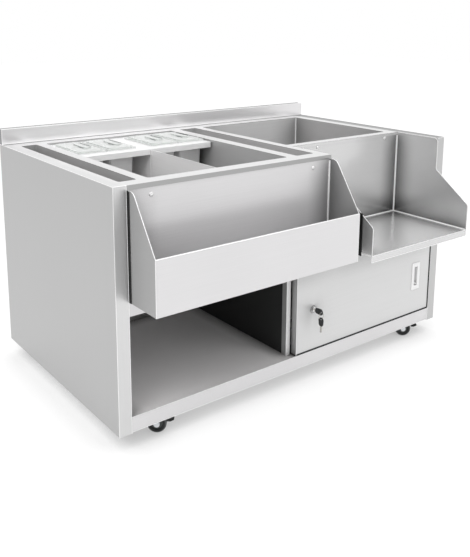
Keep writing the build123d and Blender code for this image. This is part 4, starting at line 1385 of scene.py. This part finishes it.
@dataclass
class Studio:
    """Camera, pale floor and soft light."""

    camera_at: Point = (-1.35246, -1.70350, 1.03523)
    yaw: float = 37.770
    pitch: float = 11.436
    roll: float = 0.338
    lens: float = 46.906
    sensor: float = 36.0
    shift: float = -0.2038
    floor_half: float = 14.0
    floor_lit: str = "#F6F6F6"
    floor_seen: str = "#989898"
    floor_glow: float = 0.78
    # Near the object the glow falls to floor_dim, as ambient occlusion finds it within floor_reach: painted
    # shadow
    floor_dim: float = 0.37
    floor_reach: float = 0.14
    dim_from: float = 0.2
    dim_to: float = 0.85
    room_level: float = 0.62
    room_above: float = 0.9
    # Rise of a direction, as the Z of its unit vector, at which the room has its full level
    room_rise: float = 0.9
    lamps: tuple[Softbox, ...] = (
        Softbox("softbox_front", (1.7, -3.0, 2.2), (0.1, 0.0, 0.4), 1.6, 14.0),
        Softbox("softbox_left", (-1.9, -0.9, 2.3), (0.1, 0.0, 0.5), 1.0, 14.0),
        Softbox("softbox_top", (0.3, 0.2, 3.2), (0.1, 0.0, 0.4), 2.6, 18.0))

    def build(self) -> None:
        """Set up the whole studio."""
        self.camera()
        self.floor()
        self.world()
        for lamp in self.lamps:
            lamp.hang()
        bpy.context.scene.view_settings.view_transform = "Standard"

    def camera(self) -> None:
        """Place the camera where the photograph was taken from."""
        data = bpy.data.cameras.new("camera")
        data.sensor_width = self.sensor
        data.lens = self.lens
        data.shift_y = self.shift
        camera = bpy.data.objects.new("camera", data)
        camera.location = self.camera_at
        turn = Euler((math.radians(90 - self.pitch), 0.0, math.radians(-self.yaw)), "XYZ").to_matrix()
        camera.rotation_euler = (turn @ Matrix.Rotation(math.radians(self.roll), 3, "Z")).to_euler()
        bpy.context.scene.collection.objects.link(camera)
        bpy.context.scene.camera = camera

    def floor(self) -> None:
        """Lay a wide white floor that keeps the object's shadow, with a painted shadow where its glow fades
        near the object.
        """
        mesh = bpy.data.meshes.new("studio_floor")
        half = self.floor_half
        mesh.from_pydata([(-half, -half, 0), (half, -half, 0), (half, half, 0), (-half, half, 0)], [],
                         [(0, 1, 2, 3)])
        piece = plain_object("studio_floor", mesh)
        material, tree, out = new_material("white_floor")
        seen = seen_ray(tree)
        tone = add_node(tree, "ShaderNodeMix", {
            "Factor": seen, "A": linear(self.floor_lit), "B": linear(self.floor_seen)}, data_type="RGBA")
        diffuse = add_node(tree, "ShaderNodeBsdfDiffuse", {"Color": tone.outputs["Result"]})
        # Ambient occlusion lowers the glow near the object: painted shadow on the floor
        near = add_node(tree, "ShaderNodeAmbientOcclusion", {"Distance": self.floor_reach}, samples=6)
        level = add_node(tree, "ShaderNodeMapRange", {
            "Value": near.outputs["AO"], "From Min": self.dim_from, "From Max": self.dim_to,
            "To Min": self.floor_dim, "To Max": self.floor_glow})
        share = add_node(tree, "ShaderNodeMath", {0: seen, 1: level.outputs[0]}, operation="MULTIPLY")
        glow = add_node(tree, "ShaderNodeEmission", {"Color": WHITE, "Strength": share.outputs[0]})
        mix = add_node(tree, "ShaderNodeAddShader", {0: diffuse.outputs[0], 1: glow.outputs[0]})
        tree.links.new(mix.outputs[0], out.inputs[0])
        mesh.materials.append(material)

    def world(self) -> None:
        """Light the scene from a soft white room that is brighter above than at its sides."""
        world = bpy.data.worlds.new("white_room")
        bpy.context.scene.world = world
        world.use_nodes = True
        tree = world.node_tree
        tree.nodes.clear()
        coords = add_node(tree, "ShaderNodeTexCoord")
        split = add_node(tree, "ShaderNodeSeparateXYZ", {0: coords.outputs["Generated"]})
        height = add_node(tree, "ShaderNodeMapRange", {
            "Value": split.outputs["Z"], "From Min": 0.0, "From Max": self.room_rise,
            "To Min": self.room_level, "To Max": self.room_above})
        room = add_node(tree, "ShaderNodeBackground", {"Color": WHITE, "Strength": height.outputs[0]})
        white = add_node(tree, "ShaderNodeBackground", {"Color": WHITE, "Strength": 1.0})
        mix = add_node(tree, "ShaderNodeMixShader", {
            0: seen_ray(tree), 1: room.outputs[0], 2: white.outputs[0]})
        add_node(tree, "ShaderNodeOutputWorld", {0: mix.outputs[0]})


def main() -> None:
    """Build the studio and every sub-assembly in order."""
    logging.basicConfig(level=logging.INFO)
    Studio().build()
    shop = Shop(Finishes(), BeadTree(), FastenerTree())
    for assembly in (Carcass(shop), Worktop(shop), IceBin(shop), SpeedRail(shop), BottleShelf(shop),
                     TrayScrews(shop), DoorSet(shop), CasterSet(shop)):
        assembly.build()
        log.info("%s done", type(assembly).__name__)


if __name__ == "__main__":
    main()
